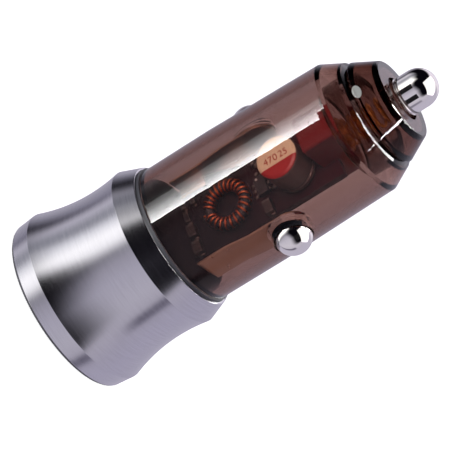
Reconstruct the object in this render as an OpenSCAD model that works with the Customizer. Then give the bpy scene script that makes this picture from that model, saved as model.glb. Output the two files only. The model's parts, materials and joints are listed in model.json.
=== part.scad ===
// Charger plug for a 12 V car socket, in millimetres.
// A turned aluminium head holds two charging ports. A smoke-clear barrel shows the
// circuit board, the wound choke and the capacitor. The tip contact and the two side
// contacts are sprung. Z runs from the port face, z = 0, to the tip. +X goes through
// one side contact, and the component side of the main board faces -Y.

/* [Barrel] */
// Outer radius of the clear barrel where it leaves the head
barrel_r = 10.35; // [10:0.05:11]
// Wall of the clear barrel
barrel_wall = 1.4; // [1.2:0.05:1.6]
// Length of the straight stretch next to the head, before the moulding draft starts
barrel_straight = 11; // [8:0.5:11]
// How much the radius shrinks by draft over the rest of the barrel
barrel_draft = 0.45; // [0:0.05:0.5]

/* [Nose] */
// Length of the cone from the barrel's corner to the flat end
nose_len = 7.55; // [7:0.05:9]
// Width of the flat ring round the tip contact at the nose's end
nose_land = 3.14; // [2.8:0.01:3.4]
// Height of the seam groove above the barrel's corner
seam_up = 3.55; // [3.2:0.05:4]
// Width of the seam groove
seam_w = 0.9; // [0.5:0.05:1.2]
// Depth of the seam groove
seam_depth = 0.55; // [0.3:0.05:0.6]
// Wall of the nose cap's sleeve between the seam groove and the barrel's neck
nose_lip = 0.65; // [0.5:0.05:0.8]
// Wall at the flat end of the nose cap
nose_end_wall = 1.35; // [1:0.05:1.8]

/* [Head] */
// Wall of the aluminium head at its waist
head_wall = 1.25; // [0.9:0.05:2]
// How far the rim ridge stands out from the waist
rim_flare = 1.6; // [1.4:0.1:3]
// Height of the rim ridge above the port face
rim_z = 3.1; // [2.6:0.1:4]
// Height of the waist, where the head is slimmest
waist_z = 12.3; // [11:0.1:13]
// Height of the shoulder ridge
shoulder_z = 16.9; // [15.5:0.1:18]
// Height of the open end, where the barrel leaves the head
mouth_z = 19.9; // [19:0.1:24]
// Wall of the head at its open end
mouth_wall = 0.5; // [0.3:0.05:0.8]
// How much the rim narrows from its ridge to the port face
foot_taper = 0.25; // [0:0.05:0.5]
// Wall of the head around the face plate
rim_wall = 1.15; // [0.9:0.05:1.4]

/* [Face plate and carrier] */
// Thickness of the black face plate's flange
plate_t = 0.4; // [0.3:0.05:0.8]
// Wall of the black sleeve inside the head
carrier_wall = 0.65; // [0.5:0.05:0.75]
// Thickness of the sleeve's lip between head and barrel
lip_t = 0.5; // [0.3:0.05:0.8]
// Depth of the barrel's spigot in the sleeve
spigot_len = 4.5; // [3:0.1:4.5]
// How far the ports' metal shells sit behind the face
port_recess = 0.4; // [0.2:0.05:0.5]

/* [Ports] */
// Inner width of the large port
port_a_w = 12.5; // [12.3:0.05:12.6]
// Inner height of the large port
port_a_h = 5.12; // [5:0.02:5.3]
// Inner width of the small port
port_c_w = 8.34; // [8.2:0.02:8.6]
// Inner height of the small port
port_c_h = 2.56; // [2.5:0.02:2.8]
// Wall of both metal shells
port_wall = 0.3; // [0.2:0.05:0.35]
// Distance of the large port's centre from the axis
port_a_y = 3.3; // [3.1:0.05:3.5]
// Distance of the small port's centre from the axis, on the other side
port_c_y = 4.2; // [3.8:0.05:5]

/* [Boards] */
// How far the main board's edge lies inside the ground springs' pads
board_inset = 0.5; // [0.4:0.05:0.7]
// How far the main board ends below the barrel's corner
board_short = 4; // [3.6:0.1:4.4]
// Thickness of the main board
board_t = 1.2; // [1:0.1:1.4]
// Distance of the board's component face behind the axis
board_y = 0.2; // [0:0.1:0.4]
// Height of the port board's underside above the port face
port_board_z = 14.2; // [13.8:0.1:14.4]
// Thickness of the port board
port_board_t = 1; // [0.8:0.1:1.2]

/* [Choke] */
// Mean radius of the wound ring
choke_r = 2.85; // [2.6:0.05:3.2]
// Radius of the round core's section
choke_core_r = 0.6; // [0.5:0.05:0.7]
// Diameter of the copper wire
choke_wire = 0.44; // [0.3:0.02:0.46]
// Number of turns
choke_turns = 23; // [16:1:23]
// Free height between the barrel's foot and the winding
choke_room = 4.07; // [3.2:0.01:5]

/* [Capacitors] */
// Radius of the large capacitor's can
cap_r = 3.15; // [2.5:0.05:3.3]
// Height of the large capacitor above the board
cap_h = 5.9; // [5:0.1:6.2]
// Gap between the controller chip's legs and the large capacitor
cap_gap = 0.6; // [0.3:0.05:1]
// Gap between the power switch's legs and the rear capacitor
rear_cap_gap = 4.65; // [3.9:0.05:5.5]
// Radius of the rear capacitor's can
rear_cap_r = 2.5; // [2:0.05:2.6]
// Free room between the rear capacitor's top and the barrel
rear_cap_room = 0.61; // [0.3:0.01:1]

/* [Chips] */
// Gap between the winding and the controller chip's legs
chip_gap = 0.12; // [0.1:0.01:0.4]
// Pitch of the controller chip's legs
chip_pitch = 0.95; // [0.8:0.05:1]
// Free height between the barrel's foot and the power switch's legs
switch_room = 0.95; // [0.8:0.05:1.4]
// Pitch of the power switch's legs
switch_pitch = 1.27; // [1:0.01:1.3]
// Gap between the power switch's legs and the freewheel diode
diode_gap = 1.2; // [0.5:0.05:2]

/* [Tip contact] */
// Gap between the large capacitor and the red seat
seat_gap = 0.65; // [0.4:0.05:1]
// Radius of the tip contact
pin_r = 2.8; // [2.4:0.01:3]
// How far the tip stands out of the nose
pin_out = 5.4; // [4:0.1:6]
// Travel of the tip contact
pin_travel = 3; // [2:0.1:3]
// Radius of the contact's flange inside the nose cap
pin_flange_r = 4.2; // [3.8:0.1:4.6]
// Free room round the flange
pin_flange_room = 0.9; // [0.6:0.05:1]
// Mean radius of the contact's spring
spring_r = 1.9; // [1.8:0.05:2.1]
// Diameter of the spring's wire
spring_wire = 0.45; // [0.35:0.05:0.5]
// Number of turns of the spring
spring_turns = 6; // [4:0.5:6]

/* [Side contacts] */
// Radius of the round side contacts
dome_r = 2.75; // [2.4:0.05:2.8]
// Distance of each contact's outer end from the plug's axis
dome_reach = 12.4; // [12:0.05:12.6]
// Travel of each side contact
dome_travel = 2.1; // [1.5:0.05:2.1]
// Height of the side contacts above the barrel's foot
dome_up = 14.9; // [14.6:0.1:15.2]
// Thickness of the ground springs' strip
leaf_t = 0.3; // [0.2:0.02:0.3]
// Half width of the ground springs' strip
leaf_half_w = 2.8; // [2.2:0.1:3]

/* [Hidden] */
$fn = 96;

// Clearance of pieces that are pressed or slipped together
fit_gap = 0.05;
// Clearance of pieces that slide
slide_gap = 0.08;
// Clearance of pieces that only touch
wire_gap = 0.02;
// Small step that makes a cut pass a face
pass = 0.5;

// Radii of the sleeve and the head, outwards from the barrel
carrier_r = barrel_r + fit_gap;
carrier_in = carrier_r - carrier_wall;
spigot_r = carrier_in - fit_gap;
bore_r = carrier_r + fit_gap;
waist_r = bore_r + head_wall;
rim_r = waist_r + rim_flare;
foot_r = rim_r - foot_taper;
mouth_r = bore_r + mouth_wall;
rim_bore_r = foot_r - rim_wall;
plate_edge = 0.1;
plate_r = foot_r - plate_edge;
skirt_r = rim_bore_r - fit_gap;
skirt_wall = 1;
skirt_top = rim_z - 0.1;

// The waist is one arc through the rim ridge, with its lowest point at the waist
waist_rise = waist_z - rim_z;
waist_arc = (waist_rise * waist_rise + rim_flare * rim_flare) / (2 * rim_flare);
shoulder_rise = shoulder_z - waist_z;
shoulder_r = waist_r + waist_arc - sqrt(waist_arc * waist_arc - shoulder_rise * shoulder_rise);

// Chips as sizes along X, Z and away from the board, and how far their legs reach
chip_size = [2.9, 1.6, 1.1];
switch_size = [4.9, 3.9, 1.5];
diode_size = [2.6, 4.3, 2.1];
leg_reach = 0.7;
chip_half = chip_size[1] / 2 + leg_reach;
switch_half = switch_size[1] / 2 + leg_reach;

// Radii of the winding: one loop round the core, and the whole ring
choke_gap = 0.04;
choke_loop_r = choke_core_r + choke_gap + choke_wire / 2;
choke_out = choke_r + choke_loop_r + choke_wire / 2;

// Heights along the board: each part follows the one below it, and the seat ends the row
foot_z = mouth_z + lip_t;
choke_z = foot_z + choke_room + choke_out;
chip_z = choke_z + choke_out + chip_gap + chip_half;
cap_z = chip_z + chip_half + cap_gap + cap_r;
seat_grip = 2.4;
seat_z = cap_z + cap_r + seat_gap;
board_top = seat_z + seat_grip;
switch_z = foot_z + switch_room + switch_half;
diode_z = switch_z + switch_half + diode_gap + diode_size[1] / 2;
rear_cap_z = switch_z + switch_half + rear_cap_gap + rear_cap_r;

// Heights along the barrel and the nose, which the board's length sets
straight_z = foot_z + barrel_straight;
corner_z = board_top + board_short;
seam_z = corner_z + seam_up;
end_z = corner_z + nose_len;
corner_r = barrel_r - barrel_draft;
end_r = pin_r + nose_land;
seam_r = cone_r(seam_z) - seam_depth;
function cone_r(z) = corner_r - (corner_r - end_r) * (z - corner_z) / nose_len;
function barrel_out(z) = z < straight_z ? barrel_r
    : barrel_r - barrel_draft * (z - straight_z) / (corner_z - straight_z);
function barrel_in(z) = barrel_out(z) - barrel_wall;

// Inside of the nose
nose_spigot_r = seam_r - nose_lip;
nose_bore_r = pin_flange_r + pin_flange_room;
neck_z = corner_z - barrel_wall;
neck_rise = 0.8;

// Boards
port_board_r = carrier_in - fit_gap;
port_board_top = port_board_z + port_board_t;
board_back = board_y + board_t;
board_tab_w = 3;
board_tab_x = 4.2;

// Seat, terminal and spring of the tip contact
seat_half_w = 2.7;
seat_half_d = 5.5;
seat_h = 4.8;
seat_top = seat_z + seat_h;
terminal_t = 0.3;
terminal_r = 2.6;
terminal_w = 1.6;
terminal_top = seat_top + terminal_t;
peg_r = 1.35;
peg_room = 1.15;
pin_flange_t = 0.7;
pin_stem_h = 1.4;
pin_flange_top = end_z - nose_end_wall - fit_gap;
pin_flange_z = pin_flange_top - pin_flange_t;
pin_apex = end_z + pin_out;
peg_h = max(0.3, pin_flange_z - pin_stem_h - pin_travel - terminal_top - peg_room);
pin_guide_r = pin_r + slide_gap;
spring_low = terminal_top + spring_wire / 2 + wire_gap;
spring_high = pin_flange_z - spring_wire / 2 - wire_gap;

// Side contacts: the flange rests just inside the curved wall of the barrel
dome_z = foot_z + dome_up;
dome_hole_r = dome_r + 0.15;
dome_flange_r = dome_r + 0.5;
dome_flange_t = 0.45;
dome_wall_r = barrel_in(dome_z + dome_flange_r);
dome_flange_x = sqrt(dome_wall_r * dome_wall_r - dome_flange_r * dome_flange_r) - slide_gap;
dome_back_x = dome_flange_x - dome_flange_t;
leaf_x = dome_back_x - leaf_t - wire_gap;
board_half_w = leaf_x - board_inset;
leaf_foot_x = board_half_w + fit_gap;
leaf_foot_z = foot_z + 1.6;
leaf_foot_h = 4;
leaf_rise = 5;
leaf_tip_r = leaf_half_w + 0.2;
leaf_tab_w = 1.5;
neck_low_z = dome_z - dome_flange_r - 0.75;
neck_gap = 0.1;
neck_half_w = leaf_x - dome_travel - neck_gap;

// Choke and capacitors
choke_x = 0.2;
choke_y = board_y - choke_loop_r - choke_wire / 2 - choke_gap;
choke_open = 20;
choke_tail = 1;
choke_steps = 16;
cap_x = 1.1;
cap_pitch = 1.25;
rear_cap_x = rear_cap_r - neck_half_w - neck_gap;
rear_cap_edge = neck_half_w + neck_gap;
rear_cap_h = sqrt(pow(barrel_in(rear_cap_z), 2) - rear_cap_edge * rear_cap_edge)
    - board_back - rear_cap_room;
rear_cap_pitch = 1;
bung_t = 0.5;
lead_r = 0.25;
lead_out = 0.9;
lead_hole_r = lead_r + 0.1;

// Places of the chips beside the axis, and of the small block parts as [x, height]
switch_x = 1.8;
diode_x = 3.9;
beside_chip = chip_z - foot_z;
beside_seat = seat_z - foot_z;
resistor_size = [1.6, 0.8, 0.5];
ceramic_size = [2, 1.25, 1.1];
front_resistors = [[-4.2, 1.4], [-4.2, 3], [-2, 1.4], [-4.2, beside_chip + 2.45]];
rear_resistors = [[-4.2, beside_seat - 1.4], [-4.2, beside_seat + 0.2], [5.6, 3], [5.6, 1.4]];
front_ceramics = [[0.6, 1.6], [3.4, 1.6], [3.8, beside_chip - 0.15]];
rear_ceramics = [[-4.4, 4], [-4.4, 6], [-1.4, 6.2]];

// Body of revolution about Z with sharp or chamfered corners
module turned(points) {
    rotate_extrude() polygon(points);
}

// Flat plate in the XZ plane: its outline is drawn as x and z, from y0 to y1
module upright_plate(y0, y1) {
    translate([0, y1, 0]) rotate([90, 0, 0]) linear_extrude(height = y1 - y0) children();
}

// Rectangle with round corners, centred
module round_rect(w, h, r) {
    square([w - 2 * r, h], center = true);
    square([w, h - 2 * r], center = true);
    for (x = [-1, 1], y = [-1, 1])
        translate([x * (w / 2 - r), y * (h / 2 - r)]) circle(r = r, $fn = 32);
}

// Turned head: conical rim, waisted body, conical shoulder and a bore right through
module head_shell() {
    color([0.6, 0.6, 0.64]) difference() {
        rotate_extrude() difference() {
            polygon([[0, plate_t], [foot_r, plate_t], [rim_r, rim_z],
                [shoulder_r, shoulder_z], [mouth_r, mouth_z], [0, mouth_z]]);
            translate([waist_r + waist_arc, waist_z]) circle(r = waist_arc, $fn = 360);
        }
        translate([0, 0, -pass]) cylinder(r = bore_r, h = mouth_z + 2 * pass);
        translate([0, 0, plate_t - pass]) cylinder(r = rim_bore_r, h = skirt_top - plate_t + pass);
        translate([0, 0, mouth_z - 0.2]) cylinder(r1 = bore_r, r2 = bore_r + 0.3, h = 0.3);
    }
}

// Window of a port in the face plate, with a bevel at the outside
module port_window(w, h, r) {
    translate([0, 0, -pass]) linear_extrude(height = skirt_top + 3 * pass) round_rect(w, h, r);
    for (step = [0:2])
        translate([0, 0, -pass]) linear_extrude(height = pass + 0.1 * (step + 1))
            round_rect(w + 0.6 - 0.2 * step, h + 0.6 - 0.2 * step, r + 0.3 - 0.1 * step);
}

// Outer size of a port's metal shell, and its window
port_a_outer = [port_a_w + 2 * port_wall, port_a_h + 2 * port_wall];
port_c_outer = [port_c_w + 2 * port_wall, port_c_h + 2 * port_wall];
port_a_corner = 0.6;
port_c_corner = port_c_outer[1] / 2 - 0.01;
window_gap = 0.12;
collar_wall = 0.8;

// Black face plate with a skirt that presses into the rim and a collar for each port
module face_plate() {
    a = [port_a_outer[0] + 2 * window_gap, port_a_outer[1] + 2 * window_gap];
    c = [port_c_outer[0] + 2 * window_gap, port_c_outer[1] + 2 * window_gap];
    color([0.08, 0.08, 0.09]) difference() {
        union() {
            turned([[0, 0], [plate_r - 0.25, 0], [plate_r, 0.25], [plate_r, plate_t], [0, plate_t]]);
            difference() {
                cylinder(r = skirt_r, h = skirt_top - fit_gap);
                translate([0, 0, plate_t]) cylinder(r = skirt_r - skirt_wall, h = skirt_top);
            }
            translate([0, port_a_y, 0]) linear_extrude(height = skirt_top)
                round_rect(a[0] + 2 * collar_wall, a[1] + 2 * collar_wall, port_a_corner + collar_wall);
            translate([0, -port_c_y, 0]) linear_extrude(height = skirt_top)
                round_rect(c[0] + 2 * collar_wall, c[1] + 2 * collar_wall, c[1] / 2);
        }
        translate([0, port_a_y, 0]) port_window(a[0], a[1], port_a_corner);
        translate([0, -port_c_y, 0]) port_window(c[0], c[1], c[1] / 2 - 0.01);
    }
}

// Sizes of the snap lugs that lock the barrel in the sleeve
lug_w = 3.2;
lug_h = 1.2;
lug_out = 0.4;
lug_z = foot_z - spigot_len + 1.6;

// Black sleeve in the head: ledge for the port board, lip under the barrel, snap windows
module port_carrier() {
    ledge_r = carrier_in - 0.55;
    color([0.07, 0.07, 0.08]) difference() {
        turned([[carrier_in, skirt_top + fit_gap], [carrier_r, skirt_top + fit_gap],
            [carrier_r, mouth_z + 0.02], [barrel_r + 0.25, mouth_z + 0.02],
            [barrel_r + 0.25, foot_z - 0.02], [carrier_in, foot_z - 0.02],
            [carrier_in, port_board_z], [ledge_r, port_board_z],
            [ledge_r, port_board_z - 0.8], [carrier_in, port_board_z - 1.3]]);
        for (side = [-1, 1])
            translate([-lug_w / 2 - 0.15, side * carrier_r - 1, lug_z - 0.15])
                cube([lug_w + 0.3, 2, lug_h + 0.3]);
    }
}

// Folded metal shell of a port, with spring fingers cut free in its two long walls
module port_shell(outer, corner, finger_x) {
    inner = [outer[0] - 2 * port_wall, outer[1] - 2 * port_wall];
    finger_w = 1.6;
    finger_h = 3.4;
    slit = 0.25;
    difference() {
        translate([0, 0, port_recess]) linear_extrude(height = port_board_z - port_recess)
            difference() {
                round_rect(outer[0], outer[1], corner);
                round_rect(inner[0], inner[1], max(corner - port_wall, 0.2));
            }
        for (x = finger_x, side = [-1, 1]) translate([x, side * outer[1] / 2, skirt_top + 2]) {
            translate([-finger_w / 2 - slit, -1, 0]) cube([slit, 2, finger_h]);
            translate([finger_w / 2, -1, 0]) cube([slit, 2, finger_h]);
            translate([-finger_w / 2 - slit, -1, -slit]) cube([finger_w + 2 * slit, 2, slit + 0.01]);
        }
    }
}

module port_a_shell() {
    color([0.75, 0.75, 0.77]) translate([0, port_a_y, 0])
        port_shell(port_a_outer, port_a_corner, [-3.2, 3.2]);
}

module port_c_shell() {
    color([0.72, 0.72, 0.74]) translate([0, -port_c_y, 0])
        port_shell(port_c_outer, port_c_corner, [0]);
}

// Tongues and contacts of the ports
tongue_a = [11.1, 1.84];
tongue_a_z = 1.9;
tongue_a_back = 1;
tongue_base_z = 9.4;
contact_a_x = [-3.5, -1, 1, 3.5];
contact_a = [1, 0.25];
tongue_c = [6.69, 0.7];
tongue_c_z = 1.7;
tongue_c_base_z = 7;
contact_c_pitch = 0.5;
contact_c = [0.25, 0.12];
tongue_a_y = port_a_y + port_a_h / 2 - tongue_a_back - tongue_a[1] / 2;
contact_a_y = tongue_a_y - tongue_a[1] / 2 - contact_a[1];

module a_contact_bars(z0, z1) {
    for (x = contact_a_x)
        translate([x - contact_a[0] / 2, contact_a_y, z0]) cube([contact_a[0], contact_a[1], z1 - z0]);
}

module c_contact_bars(z0, z1) {
    for (i = [-3:3], side = [-1, 1])
        translate([i * 2 * contact_c_pitch - contact_c[0] / 2,
            side > 0 ? tongue_c[1] / 2 : -tongue_c[1] / 2 - contact_c[1], z0])
            cube([contact_c[0], contact_c[1], z1 - z0]);
}

module port_a_tongue() {
    color([0.93, 0.93, 0.9]) difference() {
        union() {
            translate([-tongue_a[0] / 2, tongue_a_y - tongue_a[1] / 2, tongue_a_z])
                cube([tongue_a[0], tongue_a[1], port_board_z - tongue_a_z]);
            translate([0, port_a_y, tongue_base_z]) linear_extrude(height = port_board_z - tongue_base_z)
                round_rect(port_a_w - 2 * fit_gap, port_a_h - 2 * fit_gap, 0.3);
        }
        a_contact_bars(tongue_a_z - pass, port_board_z + pass);
    }
}

module port_a_contacts() {
    color([0.85, 0.68, 0.3]) a_contact_bars(tongue_a_z + 0.6, port_board_z);
}

module port_c_tongue() {
    color([0.1, 0.1, 0.11]) translate([0, -port_c_y, 0]) difference() {
        union() {
            translate([-tongue_c[0] / 2, -tongue_c[1] / 2, tongue_c_z])
                cube([tongue_c[0], tongue_c[1], port_board_z - tongue_c_z]);
            translate([0, 0, tongue_c_base_z]) linear_extrude(height = port_board_z - tongue_c_base_z)
                round_rect(port_c_w - 2 * fit_gap, port_c_h - 2 * fit_gap, port_c_h / 2 - 0.1);
        }
        c_contact_bars(tongue_c_base_z - pass, port_board_z + pass);
    }
}

module port_c_contacts() {
    color([0.85, 0.68, 0.3]) translate([0, -port_c_y, 0])
        c_contact_bars(tongue_c_z + 0.5, port_board_z);
}

// Round board that carries the ports, with slots for the tabs of the main board
module port_board() {
    color([0.16, 0.12, 0.13]) difference() {
        translate([0, 0, port_board_z]) cylinder(r = port_board_r, h = port_board_t);
        for (side = [-1, 1])
            translate([side * board_tab_x - board_tab_w / 2 - fit_gap, board_y - fit_gap,
                port_board_z - pass])
                cube([board_tab_w + 2 * fit_gap, board_t + 2 * fit_gap, port_board_t + 2 * pass]);
    }
}

// Main board, narrower from the side contacts up, with two tabs below and drilled lead holes
module main_board() {
    color([0.2, 0.13, 0.15]) upright_plate(board_y, board_back) difference() {
        union() {
            square_from([-board_half_w, port_board_top], [board_half_w, neck_low_z]);
            square_from([-neck_half_w, port_board_top], [neck_half_w, board_top]);
            for (side = [-1, 1])
                translate([side * board_tab_x - board_tab_w / 2, port_board_z])
                    square([board_tab_w, port_board_t + pass]);
        }
        for (side = [-1, 1]) {
            translate([cap_x + side * cap_pitch, cap_z]) circle(r = lead_hole_r, $fn = 24);
            translate([rear_cap_x + side * rear_cap_pitch, rear_cap_z])
                circle(r = lead_hole_r, $fn = 24);
        }
    }
}

// Clear barrel with its spigot, the first half of the cone, the neck and two side holes
module clear_barrel() {
    color([0.42, 0.3, 0.28, 0.55]) difference() {
        union() {
            turned([[barrel_in(foot_z), foot_z - spigot_len], [spigot_r - 0.2, foot_z - spigot_len],
                [spigot_r, foot_z - spigot_len + 0.4], [spigot_r, foot_z], [barrel_r - 0.1, foot_z],
                [barrel_r, foot_z + 0.1], [barrel_r, straight_z], [corner_r, corner_z],
                [cone_r(seam_z - seam_w / 2), seam_z - seam_w / 2], [seam_r, seam_z],
                [nose_spigot_r + fit_gap, seam_z], [nose_spigot_r + fit_gap, neck_z],
                [barrel_in(neck_z - neck_rise), neck_z - neck_rise],
                [barrel_in(straight_z), straight_z]]);
            for (side = [-1, 1])
                translate([-lug_w / 2, side > 0 ? spigot_r - 0.5 : -spigot_r - lug_out, lug_z])
                    cube([lug_w, 0.5 + lug_out, lug_h]);
        }
        translate([0, 0, dome_z]) rotate([0, 90, 0])
            cylinder(r = dome_hole_r, h = 2 * barrel_r + 2 * pass, center = true, $fn = 48);
        translate([0, 0, lug_z - pass]) cylinder(r = barrel_in(foot_z), h = lug_h + 2 * pass);
    }
}

// Nose cap: second half of the cone, a spigot that screws into the neck and the pin's guide
module nose_cap() {
    spigot_z = seat_top + 0.15;
    color([0.36, 0.24, 0.2, 0.6]) turned([
        [nose_bore_r, spigot_z], [nose_spigot_r - 0.3, spigot_z], [nose_spigot_r, spigot_z + 0.3],
        [nose_spigot_r, seam_z + 0.02], [seam_r, seam_z + 0.02],
        [cone_r(seam_z + seam_w / 2), seam_z + seam_w / 2], [end_r + 0.08, end_z - 0.15],
        [end_r - 0.1, end_z], [pin_guide_r + 0.4, end_z], [pin_guide_r + 0.4, end_z - 0.5],
        [pin_guide_r, end_z - 0.7], [pin_guide_r, end_z - nose_end_wall],
        [nose_bore_r, end_z - nose_end_wall]]);
}

// Tip contact: round-nosed pin with a retaining flange and a short stem for its spring
module contact_pin() {
    color([0.8, 0.78, 0.74]) rotate_extrude() difference() {
        union() {
            translate([0, pin_apex - pin_r]) intersection() {
                circle(r = pin_r);
                square([pin_r, pin_r]);
            }
            square_from([0, pin_flange_top - 0.1], [pin_r, pin_apex - pin_r]);
            square_from([0, pin_flange_z], [pin_flange_r, pin_flange_top]);
            square_from([0, pin_flange_z - pin_stem_h], [peg_r, pin_flange_z + 0.1]);
        }
        translate([pin_r + 0.05, end_z + 0.55]) circle(r = 0.22, $fn = 24);
    }
}

// Rectangle between two corners
module square_from(low, high) {
    translate(low) square(high - low);
}

// Wire swept along a path: one ring of points for each place, walls between and two ends
module swept_wire(places, sides_u, sides_v, wire, sides) {
    count = len(places);
    points = [for (i = [0:count - 1], k = [0:sides - 1]) let (a = 360 * k / sides)
        places[i] + wire / 2 * (cos(a) * sides_u[i] + sin(a) * sides_v[i])];
    walls = [for (i = [0:count - 2], k = [0:sides - 1])
        let (a = i * sides + k, b = i * sides + (k + 1) % sides) [a, a + sides, b + sides, b]];
    first = [for (k = [0:sides - 1]) k];
    last = [for (k = [sides - 1:-1:0]) (count - 1) * sides + k];
    polyhedron(points, concat([first], walls, [last]));
}

// Coil spring: closed turns at both ends and an even rise between
function coil_lift(t) = min(max((t - 1) / (spring_turns - 2), 0), 1);
function end_coil(t) = end_pitch * (min(t, 1) + max(0, t - spring_turns + 1));
function coil_z(t) = spring_low + end_coil(t) + (spring_high - spring_low - 2 * end_pitch) * coil_lift(t);
end_pitch = spring_wire + wire_gap;
coil_steps = 16;
wire_sides = 8;

module pin_spring() {
    turns = [for (i = [0:floor(spring_turns * coil_steps)]) i / coil_steps];
    outward = [for (t = turns) [cos(360 * t), sin(360 * t), 0]];
    places = [for (i = [0:len(turns) - 1]) spring_r * outward[i] + [0, 0, coil_z(turns[i])]];
    color([0.82, 0.66, 0.4])
        swept_wire(places, outward, [for (t = turns) [0, 0, 1]], spring_wire, wire_sides);
}

// Red insulating seat: slotted over the end of the board, with a slit for the terminal
module spring_seat() {
    color([0.62, 0.06, 0.08]) difference() {
        translate([0, 0, seat_z]) linear_extrude(height = seat_h)
            round_rect(2 * seat_half_w, 2 * seat_half_d, 0.4);
        translate([-seat_half_w - pass, board_y - fit_gap, seat_z - pass])
            cube([2 * (seat_half_w + pass), board_t + 2 * fit_gap, seat_grip + fit_gap + pass]);
        translate([-terminal_w / 2 - fit_gap, board_back - fit_gap, seat_z - pass])
            cube([terminal_w + 2 * fit_gap, terminal_t + 2 * fit_gap, seat_h + 2 * pass]);
    }
}

// Brass plate under the spring, with a peg inside the coil and a leg down to the board
module spring_terminal() {
    color([0.8, 0.62, 0.28]) {
        translate([0, 0, seat_top + 0.01]) cylinder(r = terminal_r, h = terminal_t - 0.01);
        translate([0, 0, terminal_top - 0.05]) cylinder(r = peg_r, h = peg_h + 0.05);
        translate([-terminal_w / 2, board_back + 0.02, seat_z - 1.6])
            cube([terminal_w, terminal_t - 0.04, terminal_top - seat_z + 1.5]);
    }
}

// Side contact along +X: round nose, short shank and a flange behind the barrel's wall
module side_contact() {
    nose_x = dome_reach - dome_r;
    color([0.82, 0.8, 0.77]) translate([0, 0, dome_z]) rotate([0, 90, 0]) rotate_extrude() union() {
        translate([0, nose_x]) intersection() {
            circle(r = dome_r);
            square([dome_r, dome_r]);
        }
        square_from([0, dome_flange_x - 0.1], [dome_r, nose_x]);
        square_from([0, dome_back_x], [dome_flange_r, dome_flange_x]);
    }
}

// Ground spring along +X: tab soldered on the board, bent strip and a round pad behind the contact
module ground_spring() {
    bend_z = leaf_foot_z + leaf_foot_h;
    tip_z = dome_z + leaf_tip_r;
    color([0.78, 0.62, 0.36]) {
        intersection() {
            upright_plate(-leaf_tip_r - 1, leaf_tip_r + 1) polygon([
                [leaf_foot_x, leaf_foot_z], [leaf_foot_x + leaf_t, leaf_foot_z],
                [leaf_foot_x + leaf_t, bend_z], [leaf_x + leaf_t, bend_z + leaf_rise],
                [leaf_x + leaf_t, tip_z + 1], [leaf_x, tip_z + 1], [leaf_x, bend_z + leaf_rise],
                [leaf_foot_x, bend_z]]);
            rotate([90, 0, 90]) linear_extrude(height = barrel_r) union() {
                square_from([-leaf_half_w, leaf_foot_z - 1], [leaf_half_w, dome_z]);
                translate([0, dome_z]) circle(r = leaf_tip_r, $fn = 48);
            }
        }
        translate([leaf_foot_x - leaf_tab_w, board_y - leaf_t - 0.01, leaf_foot_z])
            cube([leaf_tab_w + leaf_t, leaf_t, leaf_foot_h]);
    }
}

module side_contact_right() { side_contact(); }
module side_contact_left() { mirror([1, 0, 0]) side_contact(); }
module ground_spring_right() { ground_spring(); }
module ground_spring_left() { mirror([1, 0, 0]) ground_spring(); }

// Ring core of the choke, lying flat against the board
module choke_core() {
    color([0.2, 0.2, 0.2]) translate([choke_x, choke_y, choke_z]) rotate([90, 0, 0])
        rotate_extrude() translate([choke_r, 0]) circle(r = choke_core_r, $fn = 32);
}

// Winding of the choke: one wire, s = 0 to 1, round and round the core. It rises from the
// board beside the ring, and its other end runs off along the board. The gap between its
// ends faces the head.
function ring_angle(s) = -90 + choke_open / 2 + s * (360 - choke_open);
function loop_angle(s) = -(360 * choke_turns - 90) * s;
function ring_out(s) = [cos(ring_angle(s)), 0, sin(ring_angle(s))];
function loop_out(s) = cos(loop_angle(s)) * ring_out(s) + [0, sin(loop_angle(s)), 0];
function choke_point(s) = [choke_x, choke_y, choke_z] + choke_r * ring_out(s) + choke_loop_r * loop_out(s);
function unit(v) = v / norm(v);

module choke_winding() {
    last = floor((choke_turns - 0.25) * choke_steps);
    shares = [for (i = [0:last]) i / last];
    step = 0.5 / last;
    turns = [for (s = shares) choke_point(s)];
    outward = [for (s = shares) loop_out(s)];
    aside = [for (s = shares)
        unit(cross(loop_out(s), choke_point(s + step) - choke_point(s - step)))];
    rise = [turns[0][0], board_y - wire_gap, turns[0][2]];
    upright = unit(cross(outward[0], [0, -1, 0]));
    run_off = turns[last] + choke_tail * ring_out(1);
    color([0.75, 0.4, 0.24]) swept_wire(concat([rise], turns, [run_off]),
        concat([outward[0]], outward, [outward[last]]), concat([upright], aside, [aside[last]]),
        choke_wire, wire_sides);
}

// Can capacitor standing on +Z: bevelled top, crimp groove and a rubber bung below
module can(r, h) {
    turned([[0, bung_t], [r - 0.15, bung_t], [r, bung_t + 0.2], [r, bung_t + 0.7],
        [r - 0.25, bung_t + 0.95], [r, bung_t + 1.2], [r, h - 0.45], [r - 0.15, h - 0.15],
        [r - 0.5, h], [0, h]]);
}

module bung(r, pitch) {
    difference() {
        translate([0, 0, 0.01]) cylinder(r = r - 0.35, h = bung_t - 0.02);
        for (side = [-1, 1])
            translate([side * pitch, 0, -pass]) cylinder(r = lead_hole_r, h = bung_t + 2 * pass, $fn = 24);
    }
}

module leads(pitch) {
    for (side = [-1, 1])
        translate([side * pitch, 0, -board_t - lead_out])
            cylinder(r = lead_r, h = board_t + lead_out + bung_t - 0.01, $fn = 24);
}

module on_front(x, z) { translate([x, board_y, z]) rotate([90, 0, 0]) children(); }
module on_rear(x, z) { translate([x, board_back, z]) rotate([-90, 0, 0]) children(); }

module input_capacitor_can() {
    color([0.72, 0.66, 0.58]) on_front(cap_x, cap_z) can(cap_r, cap_h);
}

module input_capacitor_bung() {
    color([0.12, 0.11, 0.11]) on_front(cap_x, cap_z) bung(cap_r, cap_pitch);
}

module output_capacitor_can() {
    color([0.7, 0.7, 0.72]) on_rear(rear_cap_x, rear_cap_z) can(rear_cap_r, rear_cap_h);
}

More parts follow.
